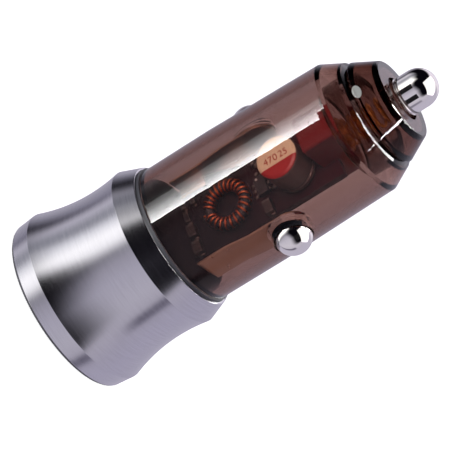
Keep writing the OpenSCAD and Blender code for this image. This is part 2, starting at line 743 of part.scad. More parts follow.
module output_capacitor_bung() {
    color([0.12, 0.11, 0.11]) on_rear(rear_cap_x, rear_cap_z) bung(rear_cap_r, rear_cap_pitch);
}

module capacitor_leads() {
    color([0.7, 0.7, 0.7]) {
        on_front(cap_x, cap_z) leads(cap_pitch);
        on_rear(rear_cap_x, rear_cap_z) leads(rear_cap_pitch);
    }
}

// Chip body lying on the board: block with bevelled upper edges
module chip_body(size, lift = 0.1) {
    bevel = 0.15;
    translate([0, 0, lift]) intersection() {
        translate([-size[0] / 2, -size[1] / 2, 0]) cube([size[0], size[1], size[2] - lift]);
        rotate([90, 0, 0]) linear_extrude(height = size[1] + 1, center = true) polygon([
            [-size[0] / 2, 0], [size[0] / 2, 0], [size[0] / 2, size[2] - lift - bevel],
            [size[0] / 2 - bevel, size[2] - lift], [bevel - size[0] / 2, size[2] - lift],
            [-size[0] / 2, size[2] - lift - bevel]]);
    }
}

// Gull-wing legs along the two long sides of a chip
module chip_legs(size, count, pitch, leg_w) {
    thick = 0.15;
    mid = size[2] / 2;
    for (i = [0:count - 1], side = [0, 180])
        rotate([0, 0, side]) translate([(i - (count - 1) / 2) * pitch - leg_w / 2, 0, 0])
            rotate([90, 0, 90]) linear_extrude(height = leg_w) polygon([
                [size[1] / 2, mid], [size[1] / 2 + 0.3, mid], [size[1] / 2 + 0.4, thick],
                [size[1] / 2 + leg_reach, thick], [size[1] / 2 + leg_reach, 0.01],
                [size[1] / 2 + 0.3, 0.01], [size[1] / 2 + 0.2, mid - thick], [size[1] / 2, mid - thick]]);
}

module controller_chip() {
    color([0.09, 0.09, 0.1]) on_front(choke_x, chip_z) chip_body(chip_size);
}

module controller_legs() {
    color([0.7, 0.7, 0.7]) on_front(choke_x, chip_z) chip_legs(chip_size, 3, chip_pitch, 0.4);
}

module power_switch() {
    color([0.09, 0.09, 0.1]) on_rear(switch_x, switch_z) chip_body(switch_size);
}

module power_switch_legs() {
    color([0.7, 0.7, 0.7]) on_rear(switch_x, switch_z) chip_legs(switch_size, 4, switch_pitch, 0.42);
}

module freewheel_diode() {
    color([0.1, 0.1, 0.11]) on_rear(diode_x, diode_z) chip_body(diode_size, 0.01);
}

// Small block parts in rows: [x, height above the barrel's foot]
module blocks(places, size, rear) {
    for (p = places)
        if (rear) on_rear(p[0], foot_z + p[1]) translate([-size[0] / 2, -size[1] / 2, 0.01])
            cube([size[0], size[1], size[2]]);
        else on_front(p[0], foot_z + p[1]) translate([-size[0] / 2, -size[1] / 2, 0.01])
            cube([size[0], size[1], size[2]]);
}

module chip_resistors() {
    color([0.12, 0.12, 0.13]) {
        blocks(front_resistors, resistor_size, false);
        blocks(rear_resistors, resistor_size, true);
    }
}

module chip_capacitors() {
    color([0.62, 0.5, 0.36]) {
        blocks(front_ceramics, ceramic_size, false);
        blocks(rear_ceramics, ceramic_size, true);
    }
}

head_shell();
face_plate();
port_carrier();
port_a_shell();
port_a_tongue();
port_a_contacts();
port_c_shell();
port_c_tongue();
port_c_contacts();
port_board();
main_board();
clear_barrel();
nose_cap();
contact_pin();
pin_spring();
spring_seat();
spring_terminal();
side_contact_right();
side_contact_left();
ground_spring_right();
ground_spring_left();
choke_core();
choke_winding();
input_capacitor_can();
input_capacitor_bung();
output_capacitor_can();
output_capacitor_bung();
capacitor_leads();
controller_chip();
controller_legs();
power_switch();
power_switch_legs();
freewheel_diode();
chip_resistors();
chip_capacitors();
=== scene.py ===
# %% [markdown]
# # A charger plug for a car socket
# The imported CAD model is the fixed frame. It gives every piece's place, in metres, with
# Z from the port face to the tip. This script adds what makes it look real: smooth turned
# outlines with small edge radii, wound wire, solder, and a finish for every surface.

# %% The frame
import json
import math

import bmesh
import bpy
from mathutils import Euler, Matrix, Vector

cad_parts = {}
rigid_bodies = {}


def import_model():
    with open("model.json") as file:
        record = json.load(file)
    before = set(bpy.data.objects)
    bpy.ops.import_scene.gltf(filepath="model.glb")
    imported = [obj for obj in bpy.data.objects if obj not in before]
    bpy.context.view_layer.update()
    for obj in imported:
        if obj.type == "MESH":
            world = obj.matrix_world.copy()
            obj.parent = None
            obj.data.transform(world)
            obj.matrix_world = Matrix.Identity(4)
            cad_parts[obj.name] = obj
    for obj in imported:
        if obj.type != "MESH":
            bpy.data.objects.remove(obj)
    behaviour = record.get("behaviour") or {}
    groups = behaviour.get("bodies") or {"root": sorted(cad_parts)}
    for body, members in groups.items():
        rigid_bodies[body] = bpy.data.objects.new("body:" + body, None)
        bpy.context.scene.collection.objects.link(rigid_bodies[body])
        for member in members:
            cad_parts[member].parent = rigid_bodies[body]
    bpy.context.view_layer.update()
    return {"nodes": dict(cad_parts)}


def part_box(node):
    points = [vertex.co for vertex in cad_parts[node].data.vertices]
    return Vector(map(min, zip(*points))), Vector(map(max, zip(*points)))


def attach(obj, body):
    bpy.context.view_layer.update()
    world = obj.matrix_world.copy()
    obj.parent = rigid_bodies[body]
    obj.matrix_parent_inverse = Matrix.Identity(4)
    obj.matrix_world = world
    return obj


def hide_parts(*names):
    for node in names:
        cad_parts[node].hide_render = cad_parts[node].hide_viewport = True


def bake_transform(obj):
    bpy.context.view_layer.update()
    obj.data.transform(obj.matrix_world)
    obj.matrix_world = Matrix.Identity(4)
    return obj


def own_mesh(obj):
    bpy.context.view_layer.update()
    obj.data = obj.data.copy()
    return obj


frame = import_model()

MM = 0.001

# %% [markdown]
# ## The camera
# It looks at the component side, 34 degrees from the side contacts' axis and 18.3 degrees
# above the floor. A rolled camera lays the standing plug along the picture's diagonal, so
# the plug itself stays upright in its own frame. A long lens from 0.4 m keeps it slim.

# %% Camera
azimuth = math.radians(34)
elevation = math.radians(18.3)
roll = math.radians(58.24)
view_distance = 398.3 * MM
aim_height = 26.1 * MM
aim_aside = 1.92 * MM

across = Vector((math.cos(azimuth), math.sin(azimuth), 0))
toward = Vector((math.sin(azimuth), -math.cos(azimuth), 0))
upward = Vector((0, 0, 1))
back = math.sin(elevation) * upward + math.cos(elevation) * toward
level_up = math.cos(elevation) * upward - math.sin(elevation) * toward
right = math.cos(roll) * across + math.sin(roll) * level_up
top = -math.sin(roll) * across + math.cos(roll) * level_up

lens = bpy.data.cameras.new("camera")
lens.sensor_width = 36
lens.lens = 230.8
lens.clip_start = 0.01
camera = bpy.data.objects.new("camera", lens)
bpy.context.scene.collection.objects.link(camera)
place = aim_height * upward + aim_aside * across + view_distance * back
camera.matrix_world = Matrix.Translation(place) @ Matrix((right, top, back)).transposed().to_4x4()
bpy.context.scene.camera = camera
bpy.context.scene.view_settings.view_transform = "Standard"
print("camera at", [round(c, 3) for c in place])

# %% [markdown]
# ## The floor
# A product photographer puts the plug on white and lights the white until it has no tone
# left. An emissive floor does the same. Mirrors don't see it here, because in the photo the
# metal reflects grey card and not the table.

# %% Floor
floor_size = 3.0
table_glow = 0.97


def colour(red, green, blue):
    """A colour as the screen shows it, from 0 to 255, turned into the shader's linear values."""
    parts = [c / 255 for c in (red, green, blue)]
    return tuple(c / 12.92 if c <= 0.04045 else ((c + 0.055) / 1.055) ** 2.4 for c in parts) + (1,)


bpy.ops.mesh.primitive_plane_add(size=floor_size)
floor = bpy.context.object
floor.name = "floor"
white_table = bpy.data.materials.new("white_table")
white_table.use_nodes = True
table_shader = white_table.node_tree.nodes["Principled BSDF"]
table_shader.inputs["Base Color"].default_value = (0.8, 0.8, 0.8, 1)
table_shader.inputs["Emission Color"].default_value = (1, 1, 1, 1)
table_shader.inputs["Emission Strength"].default_value = table_glow
floor.data.materials.append(white_table)
floor.visible_glossy = False
floor.visible_shadow = False
print("floor", floor_size, "m square")

# %% [markdown]
# ### Paper round the set
# Clear plastic bends some of the camera's rays past the table's end, where a dark part of
# the studio would show in it. A globe of the same white round the set stops that. Only rays
# that come through clear plastic see it, so it changes nothing else.

# %% Paper round the set
bpy.ops.mesh.primitive_uv_sphere_add(segments=48, ring_count=24, radius=0.45 * floor_size)
paper = bpy.context.object
paper.name = "paper"
paper.data.materials.append(white_table)
paper.visible_camera = False
paper.visible_diffuse = False
paper.visible_glossy = False
paper.visible_shadow = False
print("paper round the set, seen through clear plastic alone")

# %% [markdown]
# ## The light
# Bright metal is only as good as what it mirrors. The studio is a ring of cards round the
# plug, with a black cloth hung in front whose lower edge is uneven. The waist of the head
# leans up near the rim, so it mirrors the cloth there and the cards further up; the
# shoulder leans up more and is nearly black. Both are worked out in the world's shader from
# the angle round Z, measured from the camera's side, and the height above the horizon.

# %% Shader arithmetic


def join(tree, source, target):
    """Joins an output to an input."""
    tree.links.new(source, target)


def arithmetic(tree, operation, *values):
    """A Math node on outputs or plain numbers."""
    node = tree.nodes.new("ShaderNodeMath")
    node.operation = operation
    for socket, value in zip(node.inputs, values):
        if isinstance(value, (int, float)):
            socket.default_value = value
        else:
            join(tree, value, socket)
    return node.outputs["Value"]


def step(tree, value, start, end):
    """A smooth step from 0 to 1 as value goes from start to end. The ends may be outputs."""
    node = tree.nodes.new("ShaderNodeMapRange")
    node.interpolation_type = "SMOOTHSTEP"
    for socket, part in (("Value", value), ("From Min", start), ("From Max", end)):
        if isinstance(part, (int, float)):
            node.inputs[socket].default_value = part
        else:
            join(tree, part, node.inputs[socket])
    return node.outputs["Result"]


def blend_colours(tree, value, first, second):
    """A colour between two, by a value from 0 to 1. The colours may be outputs."""
    mix = tree.nodes.new("ShaderNodeMix")
    mix.data_type = "RGBA"
    join(tree, value, mix.inputs["Factor"])
    for socket, tone in ((mix.inputs[6], first), (mix.inputs[7], second)):
        if isinstance(tone, tuple):
            socket.default_value = tone
        else:
            join(tree, tone, socket)
    return mix.outputs[2]


# %% Studio cards
world = bpy.data.worlds.new("studio")
bpy.context.scene.world = world
world.use_nodes = True
studio = world.node_tree
studio.nodes.clear()

# Angle from the camera's side to the right, in degrees, and the tone that the aluminium shows there
cards = [
    (-180, colour(150, 147, 160)),
    (-150, colour(141, 139, 151)),
    (-130, colour(126, 124, 138)),
    (-120, colour(96, 94, 108)),
    (-106, colour(176, 174, 185)),
    (-92, colour(128, 129, 138)),
    (-84, colour(128, 129, 138)),
    (-72, colour(214, 215, 220)),
    (-58, colour(255, 255, 255)),
    (-44, colour(236, 236, 238)),
    (-30, colour(112, 111, 120)),
    (-16, colour(142, 140, 152)),
    (4, colour(156, 154, 167)),
    (40, colour(164, 162, 173)),
    (62, colour(158, 155, 167)),
    (83, colour(150, 147, 162)),
    (106, colour(151, 148, 165)),
    (180, colour(150, 147, 160)),
]
# The cloth's lower edge: angle to the right, and its height above the horizon there, in degrees
cloth_edge = [(-180, 14), (-150, 6), (-120, -14), (-100, 10), (-84, 16), (-72, 11), (-56, 18), (-48, 8),
              (-40, -6), (-24, -8), (-12, -1), (8, 6), (24, 2), (42, -1), (54, 8), (64, 38), (150, 60)]
cloth_fade = 18.0
# A narrow black card stands on the table at the right: its middle, half width and top, in degrees
low_card = (72.0, 7.0, -12.0)
card_gain = 1.72


def ring_ramp(tree, factor, stops):
    """A colour ramp whose stops are angles from -180 to 180 degrees."""
    ramp = tree.nodes.new("ShaderNodeValToRGB")
    elements = ramp.color_ramp.elements
    while len(elements) < len(stops):
        elements.new(0.5)
    for element, (angle, tone) in zip(elements, stops):
        element.position = (angle + 180) / 360
        element.color = tone
    join(tree, factor, ramp.inputs["Fac"])
    return ramp.outputs["Color"]


def grey(height):
    """A height from -100 to 100 degrees as a grey of a ramp."""
    return ((height + 100) / 200,) * 3 + (1,)


direction = studio.nodes.new("ShaderNodeTexCoord")
turned = studio.nodes.new("ShaderNodeMapping")
turned.inputs["Rotation"].default_value = (0, 0, math.radians(90) - azimuth)
circle = studio.nodes.new("ShaderNodeTexGradient")
circle.gradient_type = "RADIAL"
parts = studio.nodes.new("ShaderNodeSeparateXYZ")
sky = studio.nodes.new("ShaderNodeBackground")
studio_out = studio.nodes.new("ShaderNodeOutputWorld")
join(studio, direction.outputs["Generated"], turned.inputs["Vector"])
join(studio, direction.outputs["Generated"], parts.inputs["Vector"])
join(studio, turned.outputs["Vector"], circle.inputs["Vector"])

height_angle = arithmetic(studio, "DEGREES", arithmetic(studio, "ARCSINE", parts.outputs["Z"]))
edge_greys = [(angle, grey(height)) for angle, height in cloth_edge]
edge_grey = ring_ramp(studio, circle.outputs["Fac"], edge_greys)
edge_height = arithmetic(studio, "MULTIPLY_ADD", edge_grey, 200.0, -100.0)
cloth = step(studio, height_angle, arithmetic(studio, "SUBTRACT", edge_height, cloth_fade),
             arithmetic(studio, "ADD", edge_height, cloth_fade))
tones = blend_colours(studio, cloth, ring_ramp(studio, circle.outputs["Fac"], cards), colour(5, 4, 8))

# The narrow black card
round_angle = arithmetic(studio, "MULTIPLY_ADD", circle.outputs["Fac"], 360.0, -180.0)
from_middle = arithmetic(studio, "ABSOLUTE", arithmetic(studio, "SUBTRACT", round_angle, low_card[0]))
beside = step(studio, from_middle, low_card[1] + 4, low_card[1] - 4)
under = step(studio, height_angle, low_card[2] + 5, low_card[2] - 5)
tones = blend_colours(studio, arithmetic(studio, "MULTIPLY", beside, under), tones, colour(84, 81, 96))

# A white card behind the plug, above the table, which the flat end of the nose mirrors
behind = step(studio, arithmetic(studio, "ABSOLUTE", round_angle), 140.0, 158.0)
white_card = arithmetic(studio, "MULTIPLY", behind, step(studio, height_angle, 4.0, 12.0))
tones = blend_colours(studio, white_card, tones, colour(190, 186, 198))
join(studio, tones, sky.inputs["Color"])
sky.inputs["Strength"].default_value = card_gain
join(studio, sky.outputs["Background"], studio_out.inputs["Surface"])
print("studio cards", len(cards), "cloth points", len(cloth_edge))

# %% [markdown]
# ### Soft boxes beside the plug
# The long highlight on the barrel is a strip box, brighter at the edge next to the camera.
# Clear plastic mirrors only a twentieth of it, and the aluminium would mirror most, so the
# box lights the clear pieces alone. That is light linking, the studio's way to flag a lamp
# off one thing. Two softer boxes, one in front and one behind, light what is in the barrel.

# %% Soft boxes
clear_pieces = bpy.data.collections.new("clear_pieces")
inner_pieces = bpy.data.collections.new("inner_pieces")


def facing(angle, distance, height):
    """A place beside the plug, turned so that its back points away from the plug's axis."""
    outward = math.cos(math.radians(angle)) * toward + math.sin(math.radians(angle)) * across
    axes = Matrix((upward.cross(outward), upward, outward)).transposed().to_4x4()
    return Matrix.Translation(distance * outward + height * upward) @ axes


def soft_box(name, angle, height, distance, width, tall, radiance, lights_only=None, fade=1.0):
    """A rectangular lamp that faces the plug's axis. Its glow falls off to fade at its left edge."""
    lamp = bpy.data.lights.new(name, "AREA")
    lamp.shape = "RECTANGLE"
    lamp.size = width
    lamp.size_y = tall
    lamp.energy = radiance * width * tall * math.pi
    lamp.use_nodes = True
    tree = lamp.node_tree
    place = tree.nodes.new("ShaderNodeNewGeometry")
    sides = tree.nodes.new("ShaderNodeSeparateXYZ")
    join(tree, place.outputs["Parametric"], sides.inputs["Vector"])
    square = arithmetic(tree, "POWER", sides.outputs["X"], 2.0)
    glow = arithmetic(tree, "MULTIPLY_ADD", square, 1.0 - fade, fade)
    join(tree, glow, tree.nodes["Emission"].inputs["Strength"])
    box = bpy.data.objects.new(name, lamp)
    bpy.context.scene.collection.objects.link(box)
    box.matrix_world = facing(angle, distance, height)
    box.visible_camera = False
    box.visible_transmission = False
    if lights_only:
        box.light_linking.receiver_collection = lights_only
    return box


# The strip reaches below the table's height, because the camera looks down.
strip = soft_box("strip_box", angle=-56, height=-0.165, distance=0.70, width=0.40, tall=0.22,
                 radiance=64, lights_only=clear_pieces, fade=0.06)
inside_light = soft_box("inside_box", angle=-30, height=0.25, distance=0.60, width=0.30, tall=0.30,
                        radiance=46, lights_only=inner_pieces)
back_light = soft_box("back_box", angle=150, height=0.25, distance=0.60, width=0.30, tall=0.30,
                      radiance=24, lights_only=inner_pieces)
for box in (strip, inside_light, back_light):
    print(box.name, round(box.data.energy, 1), "W")

# %% [markdown]
# ### Flags beside the tip
# Polished metal needs dark next to bright, or it looks like grey paint. Two small black
# flags stand near the tip, and the tip mirrors each as a dark band along its shank.

# %% Flags
tip_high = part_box("contact_pin")[1]
shank_height = tip_high.z - 3.6 * MM
flag_distance = 30 * MM
flag_angles = {"left": -31, "right": 31}


def standing_card(name, angle, height, distance, width, tall):
    """A black card that faces the plug's axis and that only mirrors see."""
    bpy.ops.mesh.primitive_plane_add(size=1)
    card = bpy.context.object
    card.name = name
    card.matrix_world = facing(angle, distance, height) @ Matrix.Diagonal((width, tall, 1, 1))
    black = bpy.data.materials.new(name)
    black.use_nodes = True
    black.node_tree.nodes["Principled BSDF"].inputs["Base Color"].default_value = colour(12, 11, 14)
    black.node_tree.nodes["Principled BSDF"].inputs["Roughness"].default_value = 0.9
    card.data.materials.append(black)
    card.visible_camera = False
    card.visible_diffuse = False
    card.visible_transmission = False
    card.visible_shadow = False
    return card


for label, angle in flag_angles.items():
    drop = flag_distance * math.tan(elevation)
    flag = standing_card("flag_" + label, angle, shank_height - drop, flag_distance, 14 * MM, 11 * MM)
    print(flag.name, "at", [round(c / MM, 1) for c in flag.matrix_world.translation], "mm")

# %% [markdown]
# ### Soft boxes overhead
# Round ends and small lips mirror what hangs above them. Three boxes hang over the plug and
# shine straight down. The first fills the contacts' round ends and lights the spring behind
# the right one. The other two light the clear pieces alone: one puts glints on the lips at
# the nose, and one, further back, draws the light line along the seam groove.

# %% Boxes overhead
contact_pieces = bpy.data.collections.new("contact_pieces")
overhead_height = 0.5


def overhead_box(name, aside, ahead, width, deep, radiance, lights_only):
    """A soft box over the plug, moved to the picture's right by aside and nearer by ahead."""
    box = soft_box(name, 0, 0, 0, width, deep, radiance, lights_only)
    axes = Matrix((across, -toward, upward)).transposed().to_4x4()
    place = aside * across + ahead * toward + overhead_height * upward
    box.matrix_world = Matrix.Translation(place) @ axes
    print(name, round(box.data.energy, 2), "W")


overhead_box("contact_box", aside=0.32, ahead=0.03, width=0.90, deep=0.65,
             radiance=1.3, lights_only=contact_pieces)
overhead_box("lip_box", aside=0.25, ahead=0.20, width=0.50, deep=0.40,
             radiance=90, lights_only=clear_pieces)
overhead_box("groove_box", aside=0.14, ahead=-0.26, width=0.42, deep=0.42,
             radiance=20, lights_only=clear_pieces)

# %% [markdown]
# ## Finishes
# Each finish is a Principled shader with its plain numbers on its own sockets. Noise in the
# piece's own coordinates gives grain, roughness that varies and a little bump, so no surface
# is a flat colour. The helpers below keep each finish short.

# %% Shader helpers


def finish_base(name, base, roughness, metallic=0.0, **sockets):
    """A new material with a Principled shader: returns the material, its tree and the shader."""
    material = bpy.data.materials.new(name)
    material.use_nodes = True
    shader = material.node_tree.nodes["Principled BSDF"]
    shader.inputs["Base Color"].default_value = base
    shader.inputs["Roughness"].default_value = roughness
    shader.inputs["Metallic"].default_value = metallic
    for socket, value in sockets.items():
        shader.inputs[socket.replace("_", " ")].default_value = value
    return material, material.node_tree, shader


def grain(tree, scale, stretch=(1, 1, 1), detail=2.0):
    """Noise in the piece's own coordinates, in grains per metre, stretched per axis."""
    coordinates = tree.nodes.new("ShaderNodeTexCoord")
    mapping = tree.nodes.new("ShaderNodeMapping")
    mapping.inputs["Scale"].default_value = stretch
    noise = tree.nodes.new("ShaderNodeTexNoise")
    noise.inputs["Scale"].default_value = scale
    noise.inputs["Detail"].default_value = detail
    join(tree, coordinates.outputs["Object"], mapping.inputs["Vector"])
    join(tree, mapping.outputs["Vector"], noise.inputs["Vector"])
    return noise.outputs["Fac"]


def spread(tree, value, low, high):
    """Turns a noise value into a range, such as the roughness from low to high."""
    ranged = tree.nodes.new("ShaderNodeMapRange")
    ranged.inputs["From Min"].default_value = 0.3
    ranged.inputs["From Max"].default_value = 0.7
    ranged.inputs["To Min"].default_value = low
    ranged.inputs["To Max"].default_value = high
    join(tree, value, ranged.inputs["Value"])
    return ranged.outputs["Result"]


def bump(tree, shader, value, height, strength=1.0):
    """Bump of a height in metres from a value."""
    node = tree.nodes.new("ShaderNodeBump")
    node.inputs["Distance"].default_value = height
    node.inputs["Strength"].default_value = strength
    join(tree, value, node.inputs["Height"])
    join(tree, node.outputs["Normal"], shader.inputs["Normal"])


# %% [markdown]
# ### Turned and anodised aluminium
# The head is turned on a lathe, so its grain runs round it in rings. Noise that is fine
# along Z and slow round the piece gives those rings. Anodising adds the cool lavender grey.

# %% Aluminium


def turned_aluminium():
    """Satin aluminium with rings from the lathe."""
    material, tree, shader = finish_base("turned_aluminium", colour(203, 202, 204), 0.2, 1.0)
    rings = grain(tree, 1, (300, 300, 9000), 3)
    specks = grain(tree, 9000)
    tone = blend_colours(tree, spread(tree, rings, 0, 1), colour(200, 198, 202), colour(208, 206, 210))
    join(tree, tone, shader.inputs["Base Color"])
    join(tree, spread(tree, rings, 0.17, 0.22), shader.inputs["Roughness"])
    bump(tree, shader, specks, 0.1e-6, 0.5)
    return material


aluminium = turned_aluminium()

# %% [markdown]
# ### Smoke-clear plastic
# The barrel is tinted polycarbonate with a true wall, so the tint comes from the way light
# takes through it: an absorbing volume, brown because blue and green fade first. Lamps get
# through by a transparent shader on shadow rays, which lights what is inside. The light
# spots that real plastic throws on what is behind it are left off, because they're mostly
# noise in a picture. The nose gets more tint: its wall is thin, yet it's darker than the barrel.

# %% Smoke-clear plastic


def smoke_clear(name, density, tint, roughness):
    """Tinted clear plastic: refraction at the skin and absorption inside."""
    material, tree, shader = finish_base(
        name, (1, 1, 1, 1), roughness, IOR=1.58, Transmission_Weight=1.0,
        Specular_Tint=(0.3, 0.3, 0.3, 1))
    out = tree.nodes["Material Output"]
    path = tree.nodes.new("ShaderNodeLightPath")
    lamp_way = tree.nodes.new("ShaderNodeBsdfTransparent")
    mix = tree.nodes.new("ShaderNodeMixShader")
    join(tree, path.outputs["Is Shadow Ray"], mix.inputs["Fac"])
    join(tree, shader.outputs["BSDF"], mix.inputs[1])
    join(tree, lamp_way.outputs["BSDF"], mix.inputs[2])
    join(tree, mix.outputs["Shader"], out.inputs["Surface"])
    volume = tree.nodes.new("ShaderNodeVolumeAbsorption")
    volume.inputs["Density"].default_value = density
    volume.inputs["Color"].default_value = tint
    join(tree, volume.outputs["Volume"], out.inputs["Volume"])
    return material


barrel_plastic = smoke_clear("smoke_clear_barrel", 900, (0.35, 0.125, 0.085, 1), 0.02)
nose_plastic = smoke_clear("smoke_clear_nose", 1350, (0.36, 0.13, 0.08, 1), 0.03)
bpy.context.scene.cycles.caustics_refractive = False
print("plastics", barrel_plastic.name, nose_plastic.name)

# %% [markdown]
# ### Plated, folded and moulded metal and plastic
# The contacts are nickel plated: nearly a mirror, with a faint haze from handling. Steel,
# tin, brass, gold and copper share one helper, and so do the moulded plastics.

# %% Metals


def metal(name, base, rough_low, rough_high, scale=900.0, stretch=(1, 1, 1), height=0.0):
    """Metal whose roughness wanders between two values, with a little bump if it has a height."""
    material, tree, shader = finish_base(name, base, rough_low, 1.0)
    haze = grain(tree, scale, stretch, 3)
    join(tree, spread(tree, haze, rough_low, rough_high), shader.inputs["Roughness"])
    if height:
        bump(tree, shader, haze, height)
    return material


nickel = metal("nickel_plate", colour(240, 235, 231), 0.04, 0.07, 500)
port_steel = metal("port_steel", colour(205, 205, 208), 0.2, 0.32, 1, (2500, 2500, 150))
contact_gold = metal("contact_gold", colour(228, 184, 96), 0.16, 0.26, 1500)
tinned = metal("tinned_metal", colour(128, 124, 120), 0.34, 0.5, 2500, height=4e-6)
solder = metal("solder", colour(92, 88, 86), 0.36, 0.5, 1800, height=10e-6)
spring_brass = metal("spring_brass", colour(226, 182, 112), 0.16, 0.28, 1200)
leaf_bronze = metal("leaf_bronze", colour(204, 180, 158), 0.26, 0.34, 300)
can_metal = metal("can_metal", colour(206, 202, 196), 0.2, 0.34, 1200)

# %% Copper


def enamelled_copper():
    """Magnet wire: copper under a clear orange enamel."""
    material, tree, shader = finish_base(
        "enamelled_copper", colour(206, 112, 62), 0.28, 1.0, Coat_Weight=0.6, Coat_Roughness=0.12)
    tone = blend_colours(tree, spread(tree, grain(tree, 1400), 0, 1),
                         colour(180, 88, 48), colour(216, 128, 84))
    join(tree, tone, shader.inputs["Base Color"])
    return material


copper = enamelled_copper()

# %% Plastics


def moulded(name, base, rough_low, rough_high, height=3e-6, scale=4000.0, **sockets):
    """Moulded plastic with the fine even texture that a mould leaves."""
    material, tree, shader = finish_base(name, base, rough_low, 0.0, **sockets)
    skin = grain(tree, scale, detail=2)
    join(tree, spread(tree, skin, rough_low, rough_high), shader.inputs["Roughness"])
    bump(tree, shader, skin, height)
    return material


black_plastic = moulded("black_plastic", colour(30, 30, 34), 0.34, 0.5)
white_plastic = moulded("white_plastic", colour(226, 225, 220), 0.38, 0.5)
chip_black = moulded("chip_black", colour(30, 28, 31), 0.45, 0.62, 5e-6, 6000)
bung_rubber = moulded("bung_rubber", colour(34, 32, 33), 0.6, 0.75)
red_plastic = moulded("red_insulator", colour(112, 8, 14), 0.3, 0.42, 3e-6, 2500)
ferrite = moulded("ferrite", colour(48, 46, 48), 0.5, 0.7, 8e-6, 3500)
ceramic = moulded("ceramic_tan", colour(42, 34, 33), 0.4, 0.55, 3e-6, 5000)

# %% [markdown]
# ### Board mask
# The solder mask is dark wine red over woven glass. The weave shows as a faint grid in the
# bump, and the code blends the mask's colour redder towards the nose.

# %% Board mask
board_low, board_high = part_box("main_board")


def solder_mask():
    """Dark glossy mask with a faint weave, redder towards the nose."""
    material, tree, shader = finish_base("board_mask", colour(46, 34, 40), 0.3, Specular_IOR_Level=0.2)
    coordinates = tree.nodes.new("ShaderNodeTexCoord")
    parts = tree.nodes.new("ShaderNodeSeparateXYZ")
    join(tree, coordinates.outputs["Object"], parts.inputs["Vector"])
    reach = tree.nodes.new("ShaderNodeMapRange")
    reach.inputs["From Min"].default_value = board_low.z + 0.45 * (board_high.z - board_low.z)
    reach.inputs["From Max"].default_value = board_high.z
    join(tree, parts.outputs["Z"], reach.inputs["Value"])
    tone = blend_colours(tree, reach.outputs["Result"], colour(32, 25, 31), colour(62, 20, 31))
    join(tree, tone, shader.inputs["Base Color"])
    weave = grain(tree, 1, (5000, 5000, 5000), 1)
    join(tree, spread(tree, weave, 0.18, 0.32), shader.inputs["Roughness"])
    bump(tree, shader, weave, 1.5e-6)
    return material


board_mask = solder_mask()

# %% [markdown]
# ### Finishes on the CAD pieces
# A CAD piece whose form is right stays as it is and takes its finish here. The pieces that
# are made anew further down take the same finishes, apart from the two printed cans.

# %% Finishes by node
finishes = {
    black_plastic: ["face_plate", "port_carrier", "port_c_tongue"],
    port_steel: ["port_a_shell", "port_c_shell"],
    white_plastic: ["port_a_tongue"],
    contact_gold: ["port_a_contacts", "port_c_contacts"],
    board_mask: ["port_board", "main_board"],
    red_plastic: ["spring_seat"],
    spring_brass: ["spring_terminal", "pin_spring"],
    leaf_bronze: ["ground_spring_right", "ground_spring_left"],
    bung_rubber: ["input_capacitor_bung", "output_capacitor_bung"],
    tinned: ["capacitor_leads", "controller_legs", "power_switch_legs"],
    chip_black: ["controller_chip", "power_switch", "freewheel_diode", "chip_resistors"],
    ceramic: ["chip_capacitors"],
    ferrite: ["choke_core"],
    nickel: ["contact_pin", "side_contact_right", "side_contact_left"],
    aluminium: ["head_shell"],
    barrel_plastic: ["clear_barrel"],
    nose_plastic: ["nose_cap"],
    copper: ["choke_winding"],
    can_metal: ["input_capacitor_can", "output_capacitor_can"],
}
for material, nodes in finishes.items():
    for node in nodes:
        slots = frame["nodes"][node].data.materials
        slots.clear()
        slots.append(material)
print("finished nodes", sum(len(nodes) for nodes in finishes.values()))

# %% [markdown]
# ## Turned pieces
# The head, the nose cap, the cans and the three contacts are bodies of revolution. The CAD
# piece already holds the right half section, so the script reads it back from the mesh: the
# points that lie in one half plane through the axis, put in order. Its smooth stretches are
# then made finer, its sharp corners get the small radius that a real edge has, and the
# outline is spun again. A thin bright line along a ridge in the photo is such a radius.

# %% Reading a half section
NEAR = 2e-6
X, Y, Z = Vector((1, 0, 0)), Vector((0, 1, 0)), Vector((0, 0, 1))


def half_section(node, axis=Z, seam=X):
    """Half section of a turned CAD piece, as (radius, height) pairs in order round its edge."""
    low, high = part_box(node)
    middle = (low + high) / 2
    aside = axis.cross(seam)
    flat = {}
    for vertex in frame["nodes"][node].data.vertices:
        arm = vertex.co - middle
        if abs(arm.dot(aside)) < NEAR and arm.dot(seam) > -NEAR:
            flat[vertex.index] = (round(max(arm.dot(seam), 0), 6), round(vertex.co.dot(axis), 6))
    links = {point: set() for point in flat.values()}
    for edge in frame["nodes"][node].data.edges:
        ends = [flat.get(i) for i in edge.vertices]
        if None not in ends and ends[0] != ends[1]:
            links[ends[0]].add(ends[1])
            links[ends[1]].add(ends[0])
    links = {point: ends for point, ends in links.items() if ends}
    loose = sorted((p for p in links if len(links[p]) == 1 and p[0] > NEAR), key=lambda p: (p[1], p[0]))
    while loose:
        first = loose.pop(0)
        other = next((p for p in loose if abs(p[1] - first[1]) < NEAR), (0.0, first[1]))
        links[first].add(other)
        links.setdefault(other, set()).add(first)
        if other in loose:
            loose.remove(other)
    here = min(links, key=lambda p: (p[1], p[0]))
    ordered, before = [here], None
    while True:
        onward = sorted(p for p in links[here] if p != before and (p not in ordered or p == ordered[0]))
        onward = [p for p in onward if p != ordered[0] or len(ordered) > 2]
        if not onward or onward[0] == ordered[0] and len(onward) == 1:
            return ordered
        before, here = here, next(p for p in onward if p != ordered[0])
        ordered.append(here)


for node in ("head_shell", "nose_cap", "contact_pin"):
    print(node, "section points", len(half_section(node)))

# %% Finer curves and softer corners


def turning(before, here, after):
    """The angle in degrees by which an outline turns at a point."""
    first = Vector(here) - Vector(before)
    second = Vector(after) - Vector(here)
    return math.degrees(first.angle(second)) if first.length > 0 and second.length > 0 else 0


